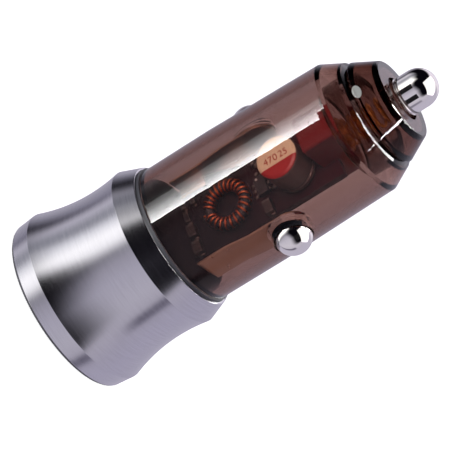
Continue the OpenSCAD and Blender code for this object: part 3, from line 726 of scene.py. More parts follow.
def finer(outline, parts=4, smooth_under=14):
    """Adds points along the stretches that turn gently at both ends, on a curve through them."""
    count = len(outline)
    gentle = [turning(outline[i - 1], outline[i], outline[(i + 1) % count]) for i in range(count)]
    gentle = [0.3 < angle < smooth_under for angle in gentle]
    result = []
    for i in range(count):
        a, b = Vector(outline[i]), Vector(outline[(i + 1) % count])
        result.append(tuple(a))
        if not (gentle[i] or gentle[(i + 1) % count]):
            continue
        before, after = Vector(outline[i - 1]), Vector(outline[(i + 2) % count])
        out_way = (b - before).normalized() if gentle[i] else None
        in_way = (after - a).normalized() if gentle[(i + 1) % count] else None
        length = (b - a).length
        straight = (b - a).normalized()
        out_way = out_way or (2 * straight.dot(in_way) * straight - in_way)
        in_way = in_way or (2 * straight.dot(out_way) * straight - out_way)
        for k in range(1, parts):
            t = k / parts
            curve = ((2 * t ** 3 - 3 * t ** 2 + 1) * a + (t ** 3 - 2 * t ** 2 + t) * length * out_way
                     + (3 * t ** 2 - 2 * t ** 3) * b + (t ** 3 - t ** 2) * length * in_way)
            result.append((max(curve.x, 0), curve.y))
    return result


def softer(outline, radius, steps=4, sharp_over=20):
    """Rounds the sharp corners of a closed outline by about a radius, less where sides are short."""
    result = []
    for i, here in enumerate(outline):
        before, after = outline[i - 1], outline[(i + 1) % len(outline)]
        angle = turning(before, here, after)
        if angle < sharp_over or here[0] < NEAR:
            result.append(here)
            continue
        corner, first, last = Vector(here), Vector(before) - Vector(here), Vector(after) - Vector(here)
        cut = min(radius * math.tan(math.radians(angle) / 2), 0.4 * first.length, 0.4 * last.length)
        start, end = corner + cut * first.normalized(), corner + cut * last.normalized()
        for k in range(steps + 1):
            t = k / steps
            result.append(tuple((1 - t) ** 2 * start + 2 * t * (1 - t) * corner + t ** 2 * end))
    return result


# %% Spinning an outline


def outline_normals(outline):
    """A normal for each point of the outline: that of the longer side wins, so flats stay flat."""
    normals = []
    for i, here in enumerate(outline):
        before, after = Vector(outline[i - 1]), Vector(outline[(i + 1) % len(outline)])
        first, second = Vector(here) - before, after - Vector(here)
        weighted = first.length * first + second.length * second
        normals.append(Vector((weighted.y, -weighted.x)).normalized())
    area = sum(a[0] * b[1] - b[0] * a[1] for a, b in zip(outline, outline[1:] + outline[:1]))
    return [n if area > 0 else -n for n in normals]


def spun(name, outline, steps=160, axis=Z, seam=X, middle=Vector()):
    """A mesh object from a closed (radius, height) outline spun round an axis through middle."""
    aside = axis.cross(seam)
    centre = middle - middle.dot(axis) * axis
    mesh_points, rings, normals = [], [], []
    for (radius, height), (out, along) in zip(outline, outline_normals(outline)):
        ring = []
        for k in range(1 if radius < NEAR else steps):
            turn = 2 * math.pi * k / steps
            arm = math.cos(turn) * seam + math.sin(turn) * aside
            ring.append(len(mesh_points))
            mesh_points.append(centre + radius * arm + height * axis)
            on_axis = math.copysign(1, along) * axis
            normals.append(out * arm + along * axis if radius >= NEAR else on_axis)
        rings.append(ring)
    faces = []
    for one, two in zip(rings, rings[1:] + rings[:1]):
        if len(one) == 1 and len(two) == 1:
            continue
        for k in range(steps):
            j = (k + 1) % steps
            corners = [one[k % len(one)], one[j % len(one)], two[j % len(two)], two[k % len(two)]]
            faces.append(list(dict.fromkeys(corners)))
    mesh = bpy.data.meshes.new(name)
    mesh.from_pydata(mesh_points, [], faces)
    tidy = bmesh.new()
    tidy.from_mesh(mesh)
    bmesh.ops.recalc_face_normals(tidy, faces=tidy.faces)
    tidy.to_mesh(mesh)
    tidy.free()
    mesh.shade_smooth()
    mesh.normals_split_custom_set_from_vertices(normals)
    piece = bpy.data.objects.new(name, mesh)
    bpy.context.scene.collection.objects.link(piece)
    return piece


def dress(piece, material, body="plug", stands_for=()):
    """Gives a new piece its finish and its body, and hides the nodes it replaces."""
    piece.data.materials.clear()
    piece.data.materials.append(material)
    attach(piece, body)
    if stands_for:
        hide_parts(*stands_for)
    return piece


# %% [markdown]
# ## The head
# One aluminium bar, turned: a short cone to the rim, a waist that is one arc, a shoulder
# cone and a bore right through. The ridges between them get a radius of 0.12 mm, which is
# what a file or a tumbler leaves and what catches the light as a thin line.

# %% Head
edge_radius = 0.12 * MM
head = spun("head", softer(finer(half_section("head_shell")), edge_radius, sharp_over=8), 256)
dress(head, aluminium, stands_for=["head_shell"])
print("head faces", len(head.data.polygons))

# %% [markdown]
# ## The tip contact and the side contacts
# All three are turned from brass rod and nickel plated. Each has a round nose, a straight
# shank and a flange that keeps it inside. The side contacts lie along X, so their sections
# are read and spun about X.

# %% Contacts
tip = spun("tip_contact_pin", softer(finer(half_section("contact_pin")), 0.08 * MM), 128)
dress(tip, nickel, "tip_contact", ["contact_pin"])
for side, axis in (("right", X), ("left", -X)):
    node = "side_contact_" + side
    low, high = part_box(node)
    section = softer(finer(half_section(node, axis, -Z)), 0.08 * MM)
    contact = spun("round_contact_" + side, section, 128, axis, -Z, (low + high) / 2)
    dress(contact, nickel, side + "_contact", [node])
    print(contact.name, "faces", len(contact.data.polygons))

# %% [markdown]
# ## The clear barrel
# A tube that leaves the mould with a little draft, with half of the nose's cone, a neck for
# the nose's sleeve, a spigot in the head and a round hole for each side contact. It is spun
# from an outline whose radii are read off the CAD piece. Moulded corners are softer than
# turned ones, so they get 0.2 mm. Then two cylinders cut the holes and two small blocks add
# the snap lugs. After the cut every face corner gets its true normal again, round the tube
# or round the hole, because clear plastic shows each wrong one.

# %% Radii of a turned piece


def radius_at(node, height):
    """Outer radius of a turned CAD piece at a height, read between the rings of its mesh."""
    rings = {}
    for vertex in frame["nodes"][node].data.vertices:
        ring = round(vertex.co.z, 6)
        rings[ring] = max(rings.get(ring, 0), vertex.co.xy.length)
    lower = max((h for h in rings if h <= height + NEAR), default=min(rings))
    upper = min((h for h in rings if h >= height - NEAR), default=max(rings))
    share = 0 if upper - lower < NEAR else (height - lower) / (upper - lower)
    return (1 - share) * rings[lower] + share * rings[upper]


barrel_low, barrel_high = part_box("clear_barrel")
cap_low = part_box("nose_cap")[0]
head_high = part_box("head_shell")[1]
contact_low, contact_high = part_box("side_contact_right")
barrel_wall = 1.4 * MM
spigot_lead = 0.4 * MM
foot_chamfer = 0.1 * MM
seam_half = 0.45 * MM
lip_softness = 0.2 * MM
sleeve_gap = 0.05 * MM
seam_height = barrel_high.z
foot_height = head_high.z + 0.5 * MM
corner_height = seam_height - 3.55 * MM
straight_height = foot_height + 11 * MM
neck_height = seam_height - 1.6 * MM
contact_height = (contact_low.z + contact_high.z) / 2
barrel_radius = barrel_high.x
corner_radius = radius_at("clear_barrel", corner_height)
lip_radius = radius_at("clear_barrel", seam_height - seam_half)
seam_radius = radius_at("clear_barrel", seam_height)
neck_radius = radius_at("nose_cap", (cap_low.z + seam_height) / 2) + sleeve_gap
spigot_radius = 9.7 * MM
barrel_radii = (barrel_radius, corner_radius, lip_radius, seam_radius, neck_radius)
print("barrel radii in mm", [round(radius / MM, 2) for radius in barrel_radii])

# %% Barrel outline


def inner(height):
    """Radius of the barrel's inside at a height, one wall in from the drafted outside."""
    share = max(0.0, (height - straight_height) / (corner_height - straight_height))
    return barrel_radius - share * (barrel_radius - corner_radius) - barrel_wall


barrel_outline = [
    (inner(barrel_low.z), barrel_low.z), (spigot_radius - spigot_lead / 2, barrel_low.z),
    (spigot_radius, barrel_low.z + spigot_lead), (spigot_radius, foot_height),
    (barrel_radius - foot_chamfer, foot_height), (barrel_radius, foot_height + foot_chamfer),
    (barrel_radius, straight_height), (corner_radius, corner_height),
    (lip_radius, seam_height - seam_half), (seam_radius, seam_height),
    (neck_radius, seam_height), (neck_radius, neck_height),
    (inner(corner_height), corner_height), (inner(straight_height), straight_height)]
barrel_outline = softer(barrel_outline, lip_softness, sharp_over=8)
barrel = spun("smoke_barrel", barrel_outline, 192)
print("barrel outline points", len(barrel_outline))

# %% Holes and lugs


def tool(name, mesh_maker, place):
    """A mesh object that mesh_maker fills, at a place that it understands: often a matrix."""
    mesh = bpy.data.meshes.new(name)
    form = bmesh.new()
    mesh_maker(form, place)
    form.to_mesh(mesh)
    form.free()
    piece = bpy.data.objects.new(name, mesh)
    bpy.context.scene.collection.objects.link(piece)
    return piece


def combine(piece, other, operation):
    """Applies a boolean with another object, which is then removed."""
    modifier = piece.modifiers.new("boolean", "BOOLEAN")
    modifier.operation = operation
    modifier.solver = "EXACT"
    modifier.object = other
    bpy.context.view_layer.objects.active = piece
    bpy.ops.object.modifier_apply(modifier=modifier.name)
    bpy.data.objects.remove(other)


hole_radius = 2.9 * MM
lug_size = Vector((3.2, 0.9, 1.2)) * MM
lug_height = foot_height - 2.3 * MM
lug_reach = 10.1 * MM
for side in (-1, 1):
    lug_place = Vector((0, side * (lug_reach - lug_size.y / 2), lug_height))
    lug = tool("lug", lambda form, m: bmesh.ops.create_cube(form, size=1, matrix=m),
               Matrix.Translation(lug_place) @ Matrix.Diagonal(lug_size).to_4x4())
    combine(barrel, lug, "UNION")
    hole_place = Vector((side * barrel_radius, 0, contact_height))
    along_x = Euler((0, math.pi / 2, 0)).to_matrix().to_4x4()
    drill = tool("drill", lambda form, m: bmesh.ops.create_cone(
        form, cap_ends=True, segments=96, radius1=hole_radius, radius2=hole_radius,
        depth=barrel_radius, matrix=m), Matrix.Translation(hole_place) @ along_x)
    combine(barrel, drill, "DIFFERENCE")
print("barrel faces", len(barrel.data.polygons))

# %% True normals for the cut barrel


def section_normal(outline, normals, radius, height):
    """Normal of the outline at its point nearest to (radius, height)."""
    spot, best, found = Vector((radius, height)), 1.0, None
    for i, start in enumerate(outline):
        j = (i + 1) % len(outline)
        side = Vector(outline[j]) - Vector(start)
        t = min(max((spot - Vector(start)).dot(side) / max(side.length_squared, 1e-18), 0), 1)
        gap = (Vector(start) + t * side - spot).length
        if gap < best:
            best, found = gap, (1 - t) * normals[i] + t * normals[j]
    return found.normalized()


def true_normals(piece, outline, drill_radius, drill_height):
    """Sets each face corner's normal: round the Z axis on turned faces, round the X axis in a hole."""
    mesh, normals, cache, result = piece.data, outline_normals(outline), {}, []
    for face in mesh.polygons:
        for loop in face.loop_indices:
            spot = mesh.vertices[mesh.loops[loop].vertex_index].co
            across_hole = Vector((0, spot.y, spot.z - drill_height))
            if abs(across_hole.length - drill_radius) < 5e-6 and abs(face.normal.x) < 0.05:
                result.append(-across_hole.normalized())
                continue
            key = (round(spot.xy.length, 6), round(spot.z, 6))
            if key not in cache:
                cache[key] = section_normal(outline, normals, *key)
            flat_out = spot.xy.normalized()
            turned_normal = Vector((*(cache[key].x * flat_out), cache[key].y))
            result.append(turned_normal if turned_normal.dot(face.normal) > 0.85 else face.normal.copy())
    mesh.shade_smooth()
    mesh.normals_split_custom_set(result)
    return len(result)


print("normals set", true_normals(barrel, barrel_outline, hole_radius, contact_height))
dress(barrel, barrel_plastic, stands_for=["clear_barrel"])

# %% [markdown]
# ## The nose cap
# A clear cone whose sleeve screws into the barrel's neck. Moulders keep walls even, because
# thick plastic sinks as it cools, so its inside is a chamber that follows the cone. A thick
# wall would also lead the light away like a glass rod and look black. Its outer edge at the
# seam and its end face have soft corners, which show as the two light lines at the groove.

# %% Nose cap
cap_wall = 1.45 * MM
sleeve_bore = 5.9 * MM
cap_section = half_section("nose_cap")
bore_radius = cap_section[0][0]
bore_top = max(p[1] for p in cap_section if abs(p[0] - bore_radius) < NEAR)
rim_height = seam_height + seam_half
chamber = [(sleeve_bore, cap_low.z), (sleeve_bore, seam_height),
           (radius_at("nose_cap", rim_height) - cap_wall, rim_height), (bore_radius, bore_top)]
others = [p for p in cap_section if abs(p[0] - bore_radius) > NEAR]
if others[0][1] < others[-1][1]:
    chamber.reverse()
cap = spun("nose_cone", softer(finer(chamber + others), 0.1 * MM), 192)
dress(cap, nose_plastic, stands_for=["nose_cap"])
print("nose cap wall", round(cap_wall / MM, 2), "mm, faces", len(cap.data.polygons))

# %% [markdown]
# ## A painted highlight on the nose
# A thin oval on the cone, on the tip's side of the seam, is a painted highlight: pale matt
# plastic in place of the light spot that a lamp makes there. It stays white next to the clear
# plastic.

# %% Painted highlight on the nose
# The pale matt finish paints the highlight; the next line gives the oval's half width, half height and
# rise
highlight_paint = moulded("highlight_paint", colour(214, 218, 212), 0.55, 0.7)
highlight_half_width, highlight_half_height, highlight_rise = 1.0 * MM, 0.62 * MM, 0.03 * MM
highlight_angle = math.radians(-31)
highlight_height = seam_height + seam_half + 0.55 * highlight_half_height
highlight_out = math.cos(highlight_angle) * toward + math.sin(highlight_angle) * across
highlight_fall = radius_at("nose_cap", highlight_height - 0.5 * MM) - radius_at("nose_cap", highlight_height + 0.5 * MM)
highlight_normal = (highlight_out + highlight_fall / MM * Z).normalized()
highlight_across = Z.cross(highlight_out)
highlight_axes = Matrix((highlight_across, highlight_normal.cross(highlight_across), highlight_normal)).transposed().to_4x4()
highlight_place = Matrix.Translation(radius_at("nose_cap", highlight_height) * highlight_out + highlight_height * Z)
highlight_disc = tool("gate_mark", lambda form, m: bmesh.ops.create_uvsphere(
    form, u_segments=32, v_segments=12, radius=1, matrix=m),
    highlight_place @ highlight_axes @ Matrix.Diagonal((highlight_half_width, highlight_half_height, highlight_rise, 1)))
highlight_disc.data.shade_smooth()
dress(highlight_disc, highlight_paint)
highlight_lean = math.degrees(highlight_normal.angle(highlight_out))
print("painted highlight at", round(highlight_height / MM, 2), "mm, leaning by", round(highlight_lean), "degrees")

# %% [markdown]
# ## Wire
# The choke is one copper wire wound round and round a ferrite ring, and the tip's spring is
# one brass wire. Both are a circle swept along a path. The path comes from the windings'
# own rule, so the turns stay even, and the choke's two ends run down to their pads.

# %% Sweeping wire


def swept(name, path, radius, sides=10):
    """A closed tube along a path of points, with flat ends."""
    mesh_points, faces = [], []
    side = (path[1] - path[0]).orthogonal().normalized()
    for i, point in enumerate(path):
        ahead = (path[min(i + 1, len(path) - 1)] - path[max(i - 1, 0)]).normalized()
        side = (side - side.dot(ahead) * ahead).normalized()
        other = ahead.cross(side)
        for k in range(sides):
            turn = 2 * math.pi * k / sides
            mesh_points.append(point + radius * (math.cos(turn) * side + math.sin(turn) * other))
    for i in range(len(path) - 1):
        for k in range(sides):
            a, b = i * sides + k, i * sides + (k + 1) % sides
            faces.append((a, b, b + sides, a + sides))
    faces.append(tuple(reversed(range(sides))))
    faces.append(tuple(range((len(path) - 1) * sides, len(path) * sides)))
    mesh = bpy.data.meshes.new(name)
    mesh.from_pydata(mesh_points, [], faces)
    mesh.shade_smooth()
    mesh.set_sharp_from_angle(angle=math.radians(50))
    piece = bpy.data.objects.new(name, mesh)
    bpy.context.scene.collection.objects.link(piece)
    return piece


# %% Choke winding
core_low, core_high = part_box("choke_core")
core_middle = (core_low + core_high) / 2
core_radius = (core_high.y - core_low.y) / 2
ring_radius = (core_high.x - core_low.x) / 2 - core_radius
board_front = board_low.y
wire_radius = 0.18 * MM
touch_gap = 0.02 * MM
wire_turns = 23
loop_radius = core_radius + wire_radius + 0.03 * MM
open_angle = math.radians(20)
loop_steps = 28
tail_length = 1.4 * MM


def ring_out(share):
    """Unit vector from the ring's middle, with the gap between the wire's ends facing the head."""
    angle = -math.pi / 2 + open_angle / 2 + share * (2 * math.pi - open_angle)
    return Vector((math.cos(angle), 0, math.sin(angle)))


def winding_point(share):
    """Point of the winding, from 0 to 1 round the ring. It starts outside and ends at the board."""
    loop = -(2 * math.pi * wire_turns - math.pi / 2) * share
    out = ring_out(share)
    return core_middle + ring_radius * out + loop_radius * (math.cos(loop) * out + math.sin(loop) * Y)


total = round((wire_turns - 0.25) * loop_steps)
wire_path = [winding_point(i / total) for i in range(total + 1)]
rise = Vector((wire_path[0].x, board_front - touch_gap, wire_path[0].z))
wire_path = [rise, *wire_path, wire_path[-1] + tail_length * ring_out(1)]
winding = swept("choke_wire", wire_path, wire_radius)
dress(winding, copper, stands_for=["choke_winding"])
print("choke wire", round(sum((b - a).length for a, b in zip(wire_path, wire_path[1:])) / MM), "mm long")

# %% [markdown]
# ### The spring behind the tip
# Compression springs end in closed turns, so that they stand flat. As the tip goes in, the
# coil shortens towards its lower end.

# %% Tip spring
coil_low, coil_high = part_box("pin_spring")
coil_wire = 0.225 * MM
coil_radius = coil_high.x - coil_wire
coil_turns = 6
coil_steps = 40


def coil_height(turns):
    """Height of the coil after so many turns: closed at both ends and even between."""
    closed = 0.48 * MM
    low, high = coil_low.z + coil_wire, coil_high.z - coil_wire
    free = high - low - 2 * closed
    lift = min(max(turns - 1, 0) / (coil_turns - 2), 1)
    return low + closed * (min(turns, 1) + max(0, turns - coil_turns + 1)) + free * lift


coil_path = []
for i in range(coil_turns * coil_steps + 1):
    turns = i / coil_steps
    spin = 2 * math.pi * turns
    flat = Vector((math.cos(spin), math.sin(spin), 0))
    coil_path.append(coil_radius * flat + coil_height(turns) * Z)
coil = swept("tip_spring_coil", coil_path, coil_wire, 12)
dress(coil, spring_brass, stands_for=["pin_spring"])
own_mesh(coil)

# %% [markdown]
# ### The ground springs
# A strip of bronze is soldered to the board's edge by a tab, leans outwards and ends in a
# round pad that pushes the side contact out. It is a grid of points along the strip, given
# its thickness and rounded edges by modifiers. It bends between the board and the contact,
# in the shape it has while the contact is out.

# %% Form of a ground spring
spring_low, spring_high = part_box("ground_spring_right")
leaf_thick = 0.3 * MM
foot_x = 7.0 * MM
pad_x = spring_high.x - leaf_thick / 2
pad_radius = (spring_high.y - spring_low.y) / 2
tab_top = spring_low.z + 4 * MM
lean_length = 5 * MM
bend_length = 6 * MM
side_travel = 2.1 * MM


def eased(share):
    """A smooth step from 0 to 1."""
    share = min(max(share, 0), 1)
    return share * share * (3 - 2 * share)


def rest_x(height):
    """Distance of the strip's middle from the axis while its contact is out."""
    return foot_x + (pad_x - foot_x) * eased((height - tab_top) / lean_length)


def pressed_face(height):
    """Distance of the strip's inner face from the axis while its contact is pushed in."""
    return rest_x(height) - side_travel * eased((height - tab_top) / bend_length) - leaf_thick / 2


print("pad's middle", round(rest_x(spring_high.z) / MM, 2), "mm from the axis, its inner face",
      round(pressed_face(spring_high.z) / MM, 2), "mm when pressed in")

# %% Ground springs


def leaf_spring(side):
    """The bent strip behind one side contact. side is 1 for right, -1 for left."""
    node = "ground_spring_right" if side > 0 else "ground_spring_left"
    strip_half = pad_radius - 0.2 * MM
    rows = 40
    mesh_points, faces = [], []
    for i in range(rows + 1):
        height = spring_low.z + (spring_high.z - spring_low.z) * i / rows
        above = max(height - contact_height, 0)
        half = min(strip_half, math.sqrt(max(pad_radius ** 2 - above ** 2, 1e-10)))
        for k in range(9):
            mesh_points.append((side * rest_x(height), half * (k / 4 - 1), height))
    for i in range(rows):
        for k in range(8):
            a = i * 9 + k
            faces.append((a, a + 1, a + 10, a + 9)[::side])
    name = node.replace("ground_spring", "leaf_spring")
    mesh = bpy.data.meshes.new(name)
    mesh.from_pydata(mesh_points, [], faces)
    piece = bpy.data.objects.new(name, mesh)
    bpy.context.scene.collection.objects.link(piece)
    thicken = piece.modifiers.new("thickness", "SOLIDIFY")
    thicken.thickness = leaf_thick
    thicken.offset = 0
    soften = piece.modifiers.new("edges", "BEVEL")
    soften.width = 0.05 * MM
    soften.segments = 2
    soften.limit_method = "ANGLE"
    soften.angle_limit = math.radians(40)
    bpy.context.view_layer.objects.active = piece
    for modifier in ("thickness", "edges"):
        bpy.ops.object.modifier_apply(modifier=modifier)
    piece.data.shade_smooth()
    piece.data.set_sharp_from_angle(angle=math.radians(35))
    piece.data.materials.append(leaf_bronze)
    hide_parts(node)
    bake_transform(piece)
    return piece


for side in (1, -1):
    print(leaf_spring(side).name, "made")

# %% [markdown]
# ### Room for the springs in the board
# A spring that is pressed in bends past the board's edge. So the edge is milled away beside
# it, in the curve that the pressed spring takes, from its tab up to the notch that the CAD
# board has behind the contact. A cutter whose inner side has that curve does it.

# %% Milled board
mill_gap = 0.06 * MM
cad_board = frame["nodes"]["main_board"].data
narrow_x = max(vertex.co.x for vertex in cad_board.vertices if vertex.co.z > board_high.z - NEAR)
notch_low = min(vertex.co.z for vertex in cad_board.vertices if abs(vertex.co.x - narrow_x) < NEAR)


def milling_cutter(form, side):
    """A block through the board whose inner side is the pressed spring's curve."""
    heights = [tab_top + (notch_low + 0.05 * MM - tab_top) * k / 12 for k in range(13)]
    curve = [(max(pressed_face(height) - mill_gap, narrow_x), height) for height in heights]
    curve += [(board_high.x + MM, heights[-1]), (board_high.x + MM, heights[0])]
    front = form.faces.new([form.verts.new((side * x, board_low.y - MM, z)) for x, z in curve])
    moved = bmesh.ops.extrude_face_region(form, geom=[front])["geom"]
    thickness = board_high.y - board_low.y
    bmesh.ops.translate(form, verts=[part for part in moved if isinstance(part, bmesh.types.BMVert)],
                        vec=(0, thickness + 2 * MM, 0))
    bmesh.ops.recalc_face_normals(form, faces=form.faces)


board = bpy.data.objects.new("component_board", cad_board.copy())
bpy.context.scene.collection.objects.link(board)
for side in (1, -1):
    combine(board, tool("mill", milling_cutter, side), "DIFFERENCE")
dress(board, board_mask, stands_for=["main_board"])
print("board milled from", round(tab_top / MM, 2), "to", round(notch_low / MM, 2), "mm up")

# %% [markdown]
# ## The capacitor's printed top
# The can of an electrolytic capacitor is drawn aluminium in a printed sleeve. Its top shows
# a tan face with a red half moon that marks the negative side. Noise gives the tan its
# paper-like mottle. The two colours meet in a straight line, so the shader only compares X.

# %% Capacitor cans
front_low, front_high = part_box("input_capacitor_can")
rear_low, rear_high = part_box("output_capacitor_can")
front_middle = (front_low + front_high) / 2
mark_offset = 1.0 * MM
top_depth = 0.25 * MM


def printed_can(name, line_x, face_y, face_side, body, face, mark):
    """A sleeve in the body's colour whose end face is printed: face colour, and mark past line_x."""
    material, tree, shader = finish_base(name, body, 0.34, 0.0, Coat_Weight=0.25)
    coordinates = tree.nodes.new("ShaderNodeTexCoord")
    parts = tree.nodes.new("ShaderNodeSeparateXYZ")
    join(tree, coordinates.outputs["Object"], parts.inputs["Vector"])
    past_line = arithmetic(tree, "GREATER_THAN", parts.outputs["X"], line_x)
    past_face = arithmetic(tree, "SUBTRACT", parts.outputs["Y"], face_y)
    on_face = arithmetic(tree, "GREATER_THAN", arithmetic(tree, "MULTIPLY", past_face, face_side), 0.0)
    mottle = spread(tree, grain(tree, 2600, detail=3), 0, 1)
    paper = blend_colours(tree, mottle, face, tuple(0.86 * c for c in face[:3]) + (1,))
    printed = blend_colours(tree, past_line, paper, mark)
    join(tree, blend_colours(tree, on_face, body, printed), shader.inputs["Base Color"])
    join(tree, spread(tree, mottle, 0.3, 0.42), shader.inputs["Roughness"])
    return material


front_sleeve = printed_can("front_can_sleeve", front_middle.x + mark_offset, front_low.y + top_depth, -1,
                           colour(88, 75, 71), colour(255, 246, 206), colour(176, 24, 26))
rear_sleeve = printed_can("rear_can_sleeve", (rear_low.x + rear_high.x) / 2 + mark_offset,
                          rear_high.y - top_depth, 1,
                          colour(60, 62, 84), colour(196, 194, 190), colour(52, 54, 76))
for node, axis, name, sleeve in (("input_capacitor_can", -Y, "front_can", front_sleeve),
                                 ("output_capacitor_can", Y, "rear_can", rear_sleeve)):
    low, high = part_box(node)
    can = spun(name, softer(half_section(node, axis), 0.1 * MM), 96, axis, X, (low + high) / 2)
    dress(can, sleeve, stands_for=[node])
    print(name, "faces", len(can.data.polygons))

# %% [markdown]
# ### Numbers on the capacitor
# Such a can carries its value in print on its end. Here that is plain numbers: text curves
# made into a thin mesh of ink, 0.01 mm proud, so the light treats them as print.

# %% Printed numbers
ink = moulded("red_ink", colour(168, 28, 24), 0.4, 0.5, 0.0)
number_height = 1.45 * MM
number_groups = [("47", -1.25), ("0", -0.1), ("25", 1.2)]


def print_number(text, along, name):
    """A number on the front can's face, read from the head to the tip."""
    curve = bpy.data.curves.new(name, "FONT")
    curve.body = text
    curve.size = number_height
    curve.align_x = "CENTER"
    curve.align_y = "CENTER"
    written = bpy.data.objects.new(name, curve)
    bpy.context.scene.collection.objects.link(written)
    beside_mark = front_middle.x + mark_offset - 0.95 * MM
    place = Vector((beside_mark, front_low.y - 0.01 * MM, front_middle.z + along * MM))
    axes = Matrix((Z, -X, -Y)).transposed().to_4x4()
    written.matrix_world = Matrix.Translation(place) @ axes
    bpy.context.view_layer.update()
    mesh = bpy.data.meshes.new_from_object(written)
    mesh.transform(written.matrix_world)
    bpy.data.objects.remove(written)
    piece = bpy.data.objects.new(name, mesh)
    bpy.context.scene.collection.objects.link(piece)
    return dress(piece, ink)


for row, (text, along) in enumerate(number_groups):
    print(print_number(text, along, "can_number_" + str(row)).name)

# %% [markdown]
# ## Small parts on the board
# Chip resistors and ceramic capacitors are little blocks with a tinned cap on each end. A
# reflow oven wets each cap, leg and lead with solder, which stands round it as a low shiny
# bead. The CAD piece gives the blocks, so their boxes are read off its separate bodies.

# %% Boxes of separate bodies


def islands(node):
    """The boxes, as pairs of corners, of the separate bodies of a CAD piece."""
    form = bmesh.new()
    form.from_mesh(frame["nodes"][node].data)
    bmesh.ops.remove_doubles(form, verts=form.verts, dist=1e-7)
    left, boxes = set(form.verts), []
    while left:
        waiting, body = [left.pop()], []
        while waiting:
            vertex = waiting.pop()
            body.append(vertex.co.copy())
            near = {edge.other_vert(vertex) for edge in vertex.link_edges} & left
            left -= near
            waiting.extend(near)
        boxes.append(tuple(Vector(pick(c[i] for c in body) for i in range(3)) for pick in (min, max)))
    form.free()
    return sorted(boxes, key=lambda box: tuple(box[0]))


block_boxes = islands("chip_resistors") + islands("chip_capacitors")
print("blocks", len(block_boxes))

# %% Soft blocks


def soft_blocks(name, boxes, radius):
    """One mesh of several boxes whose edges are rounded by a radius."""
    form = bmesh.new()
    for low, high in boxes:
        middle, size = (low + high) / 2, high - low
        place = Matrix.Translation(middle) @ Matrix.Diagonal(size).to_4x4()
        bmesh.ops.create_cube(form, size=1, matrix=place)
    bmesh.ops.bevel(form, geom=form.edges[:], offset=radius, segments=2, affect="EDGES", profile=0.5)
    mesh = bpy.data.meshes.new(name)
    form.to_mesh(mesh)
    form.free()
    mesh.shade_smooth()
    mesh.set_sharp_from_angle(angle=math.radians(35))
    piece = bpy.data.objects.new(name, mesh)
    bpy.context.scene.collection.objects.link(piece)
    return piece


cap_length = 0.32 * MM
skin = Vector((0.01, 0.01, 0.01)) * MM
end_boxes = []
for low, high in block_boxes:
    end_boxes.append((low - skin, Vector((low.x + cap_length, high.y, high.z)) + skin))
    end_boxes.append((Vector((high.x - cap_length, low.y, low.z)) - skin, high + skin))
dress(soft_blocks("chip_ends", end_boxes, 0.04 * MM), solder)
print("end caps", len(end_boxes))

# %% Tabs of the ground springs
tab_size = Vector((1.8, 0.3, 4.0)) * MM
tab_outer = 7.15 * MM
for side, label in ((1, "right"), (-1, "left")):
    tab_x = min(side * tab_outer, side * (tab_outer - tab_size.x))
    tab_low = Vector((tab_x, board_front - tab_size.y, spring_low.z))
    tab = soft_blocks("spring_tab_" + label, [(tab_low, tab_low + tab_size)], 0.06 * MM)
    dress(tab, leaf_bronze)
    print(tab.name, "made")

# %% Solder beads


def beads(name, spots):
    """One mesh of low domes on the board: (x, z, side, half width, half height along Z, rise)."""
    form = bmesh.new()
    for x, z, side, half_x, half_z, rise in spots:
        face_y = board_low.y if side < 0 else board_high.y
        spot = Matrix.Translation((x, face_y, z)) @ Matrix.Diagonal((half_x, rise, half_z, 1))
        bmesh.ops.create_uvsphere(form, u_segments=20, v_segments=12, radius=1, matrix=spot)
    mesh = bpy.data.meshes.new(name)
    form.to_mesh(mesh)
    form.free()
    mesh.shade_smooth()
    piece = bpy.data.objects.new(name, mesh)
    bpy.context.scene.collection.objects.link(piece)
    return dress(piece, solder)


# Half width, half height and rise of a bead, for each thing that is soldered
leg_bead = (0.3 * MM, 0.28 * MM, 0.14 * MM)
lead_bead = (0.6 * MM, 0.6 * MM, 0.5 * MM)
wire_bead = (0.5 * MM, 0.5 * MM, 0.32 * MM)
tab_bead = (0.45 * MM, 1.7 * MM, 0.26 * MM)
terminal_bead = (1.2 * MM, 0.8 * MM, 0.42 * MM)
tab_middle = 5.4 * MM
spots = []
for low, high in block_boxes:
    side = -1 if high.y < board_high.y else 1
    middle, half = (low + high) / 2, (high - low) / 2
    for end in (low.x, high.x):
        spots.append((end, middle.z, side, 0.3 * MM, 0.9 * half.z, 0.6 * half.y))
for chip, legs in (("controller_chip", "controller_legs"), ("power_switch", "power_switch_legs")):
    chip_low, chip_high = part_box(chip)
    side = -1 if chip_high.y < board_high.y else 1
    for low, high in islands(legs):
        toe = low.z if high.z < (chip_low.z + chip_high.z) / 2 else high.z
        spots.append(((low.x + high.x) / 2, toe, side, *leg_bead))
for low, high in islands("capacitor_leads"):
    side = 1 if high.y > board_high.y + 0.6 * MM else -1
    spots.append(((low.x + high.x) / 2, (low.z + high.z) / 2, side, *lead_bead))
for end in (wire_path[0], wire_path[-1]):
    spots.append((end.x, end.z, -1, *wire_bead))
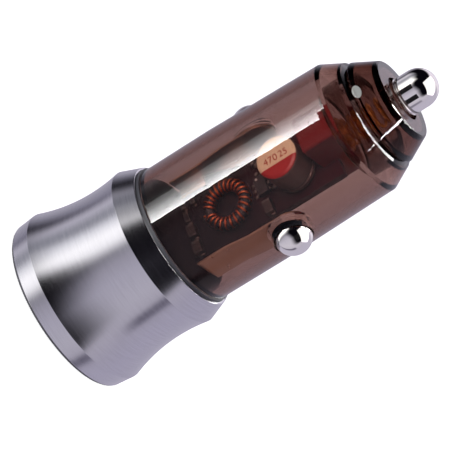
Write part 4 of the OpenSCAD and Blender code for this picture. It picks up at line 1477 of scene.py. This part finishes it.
for side in (-1, 1):
    spots.append((side * tab_middle, spring_low.z + tab_size.z / 2, -1, *tab_bead))
terminal_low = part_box("spring_terminal")[0]
spots.append((0, terminal_low.z + 0.6 * MM, 1, *terminal_bead))
beads("board_solder", spots)
print("solder spots", len(spots))

# %% [markdown]
# ### Marks on the chips
# A painted dot marks leg one of a chip, and a light band marks the diode's cathode. Both
# stand 0.01 mm proud of the plastic, because two faces at one height would flicker.

# %% Chip marks
mark_paint = moulded("mark_paint", colour(176, 174, 170), 0.45, 0.6, 1e-6)
diode_low, diode_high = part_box("freewheel_diode")
band = (Vector((diode_low.x, diode_high.y - 0.3 * MM, diode_high.z - 0.9 * MM)) - skin,
        Vector((diode_high.x, diode_high.y, diode_high.z - 0.5 * MM)) + skin)
dress(soft_blocks("diode_band", [band], 0.02 * MM), mark_paint)
for chip, face_side in (("controller_chip", -1), ("power_switch", 1)):
    low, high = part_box(chip)
    face_y = low.y if face_side < 0 else high.y
    spot = Matrix.Translation((low.x + 0.5 * MM, face_y, low.z + 0.45 * MM))
    dot = tool(chip + "_dot", lambda form, m: bmesh.ops.create_uvsphere(
        form, u_segments=20, v_segments=8, radius=1, matrix=m),
        spot @ Matrix.Diagonal((0.2 * MM, 0.012 * MM, 0.2 * MM, 1)))
    dot.data.shade_smooth()
    dress(dot, mark_paint)
print("marks on the diode and two chips")

# %% [markdown]
# ## Who sees which lamp
# The strip and two of the boxes overhead light the clear pieces. The other box overhead
# lights the three contacts and the right spring. The boxes in front and behind light what
# lies in the barrel, which is every piece that isn't outside, clear or a contact.

# %% Light links
for piece in (barrel, cap):
    clear_pieces.objects.link(piece)
for name in ("tip_contact_pin", "round_contact_right", "round_contact_left", "leaf_spring_right"):
    contact_pieces.objects.link(bpy.data.objects[name])
outer = {"head", "smoke_barrel", "nose_cone", "gate_mark", "floor", "paper", "flag_left", "flag_right"}
for piece in bpy.data.objects:
    contact = piece.name.startswith(("round_", "tip_contact"))
    if piece.type == "MESH" and piece.name not in outer and not contact:
        inner_pieces.objects.link(piece)
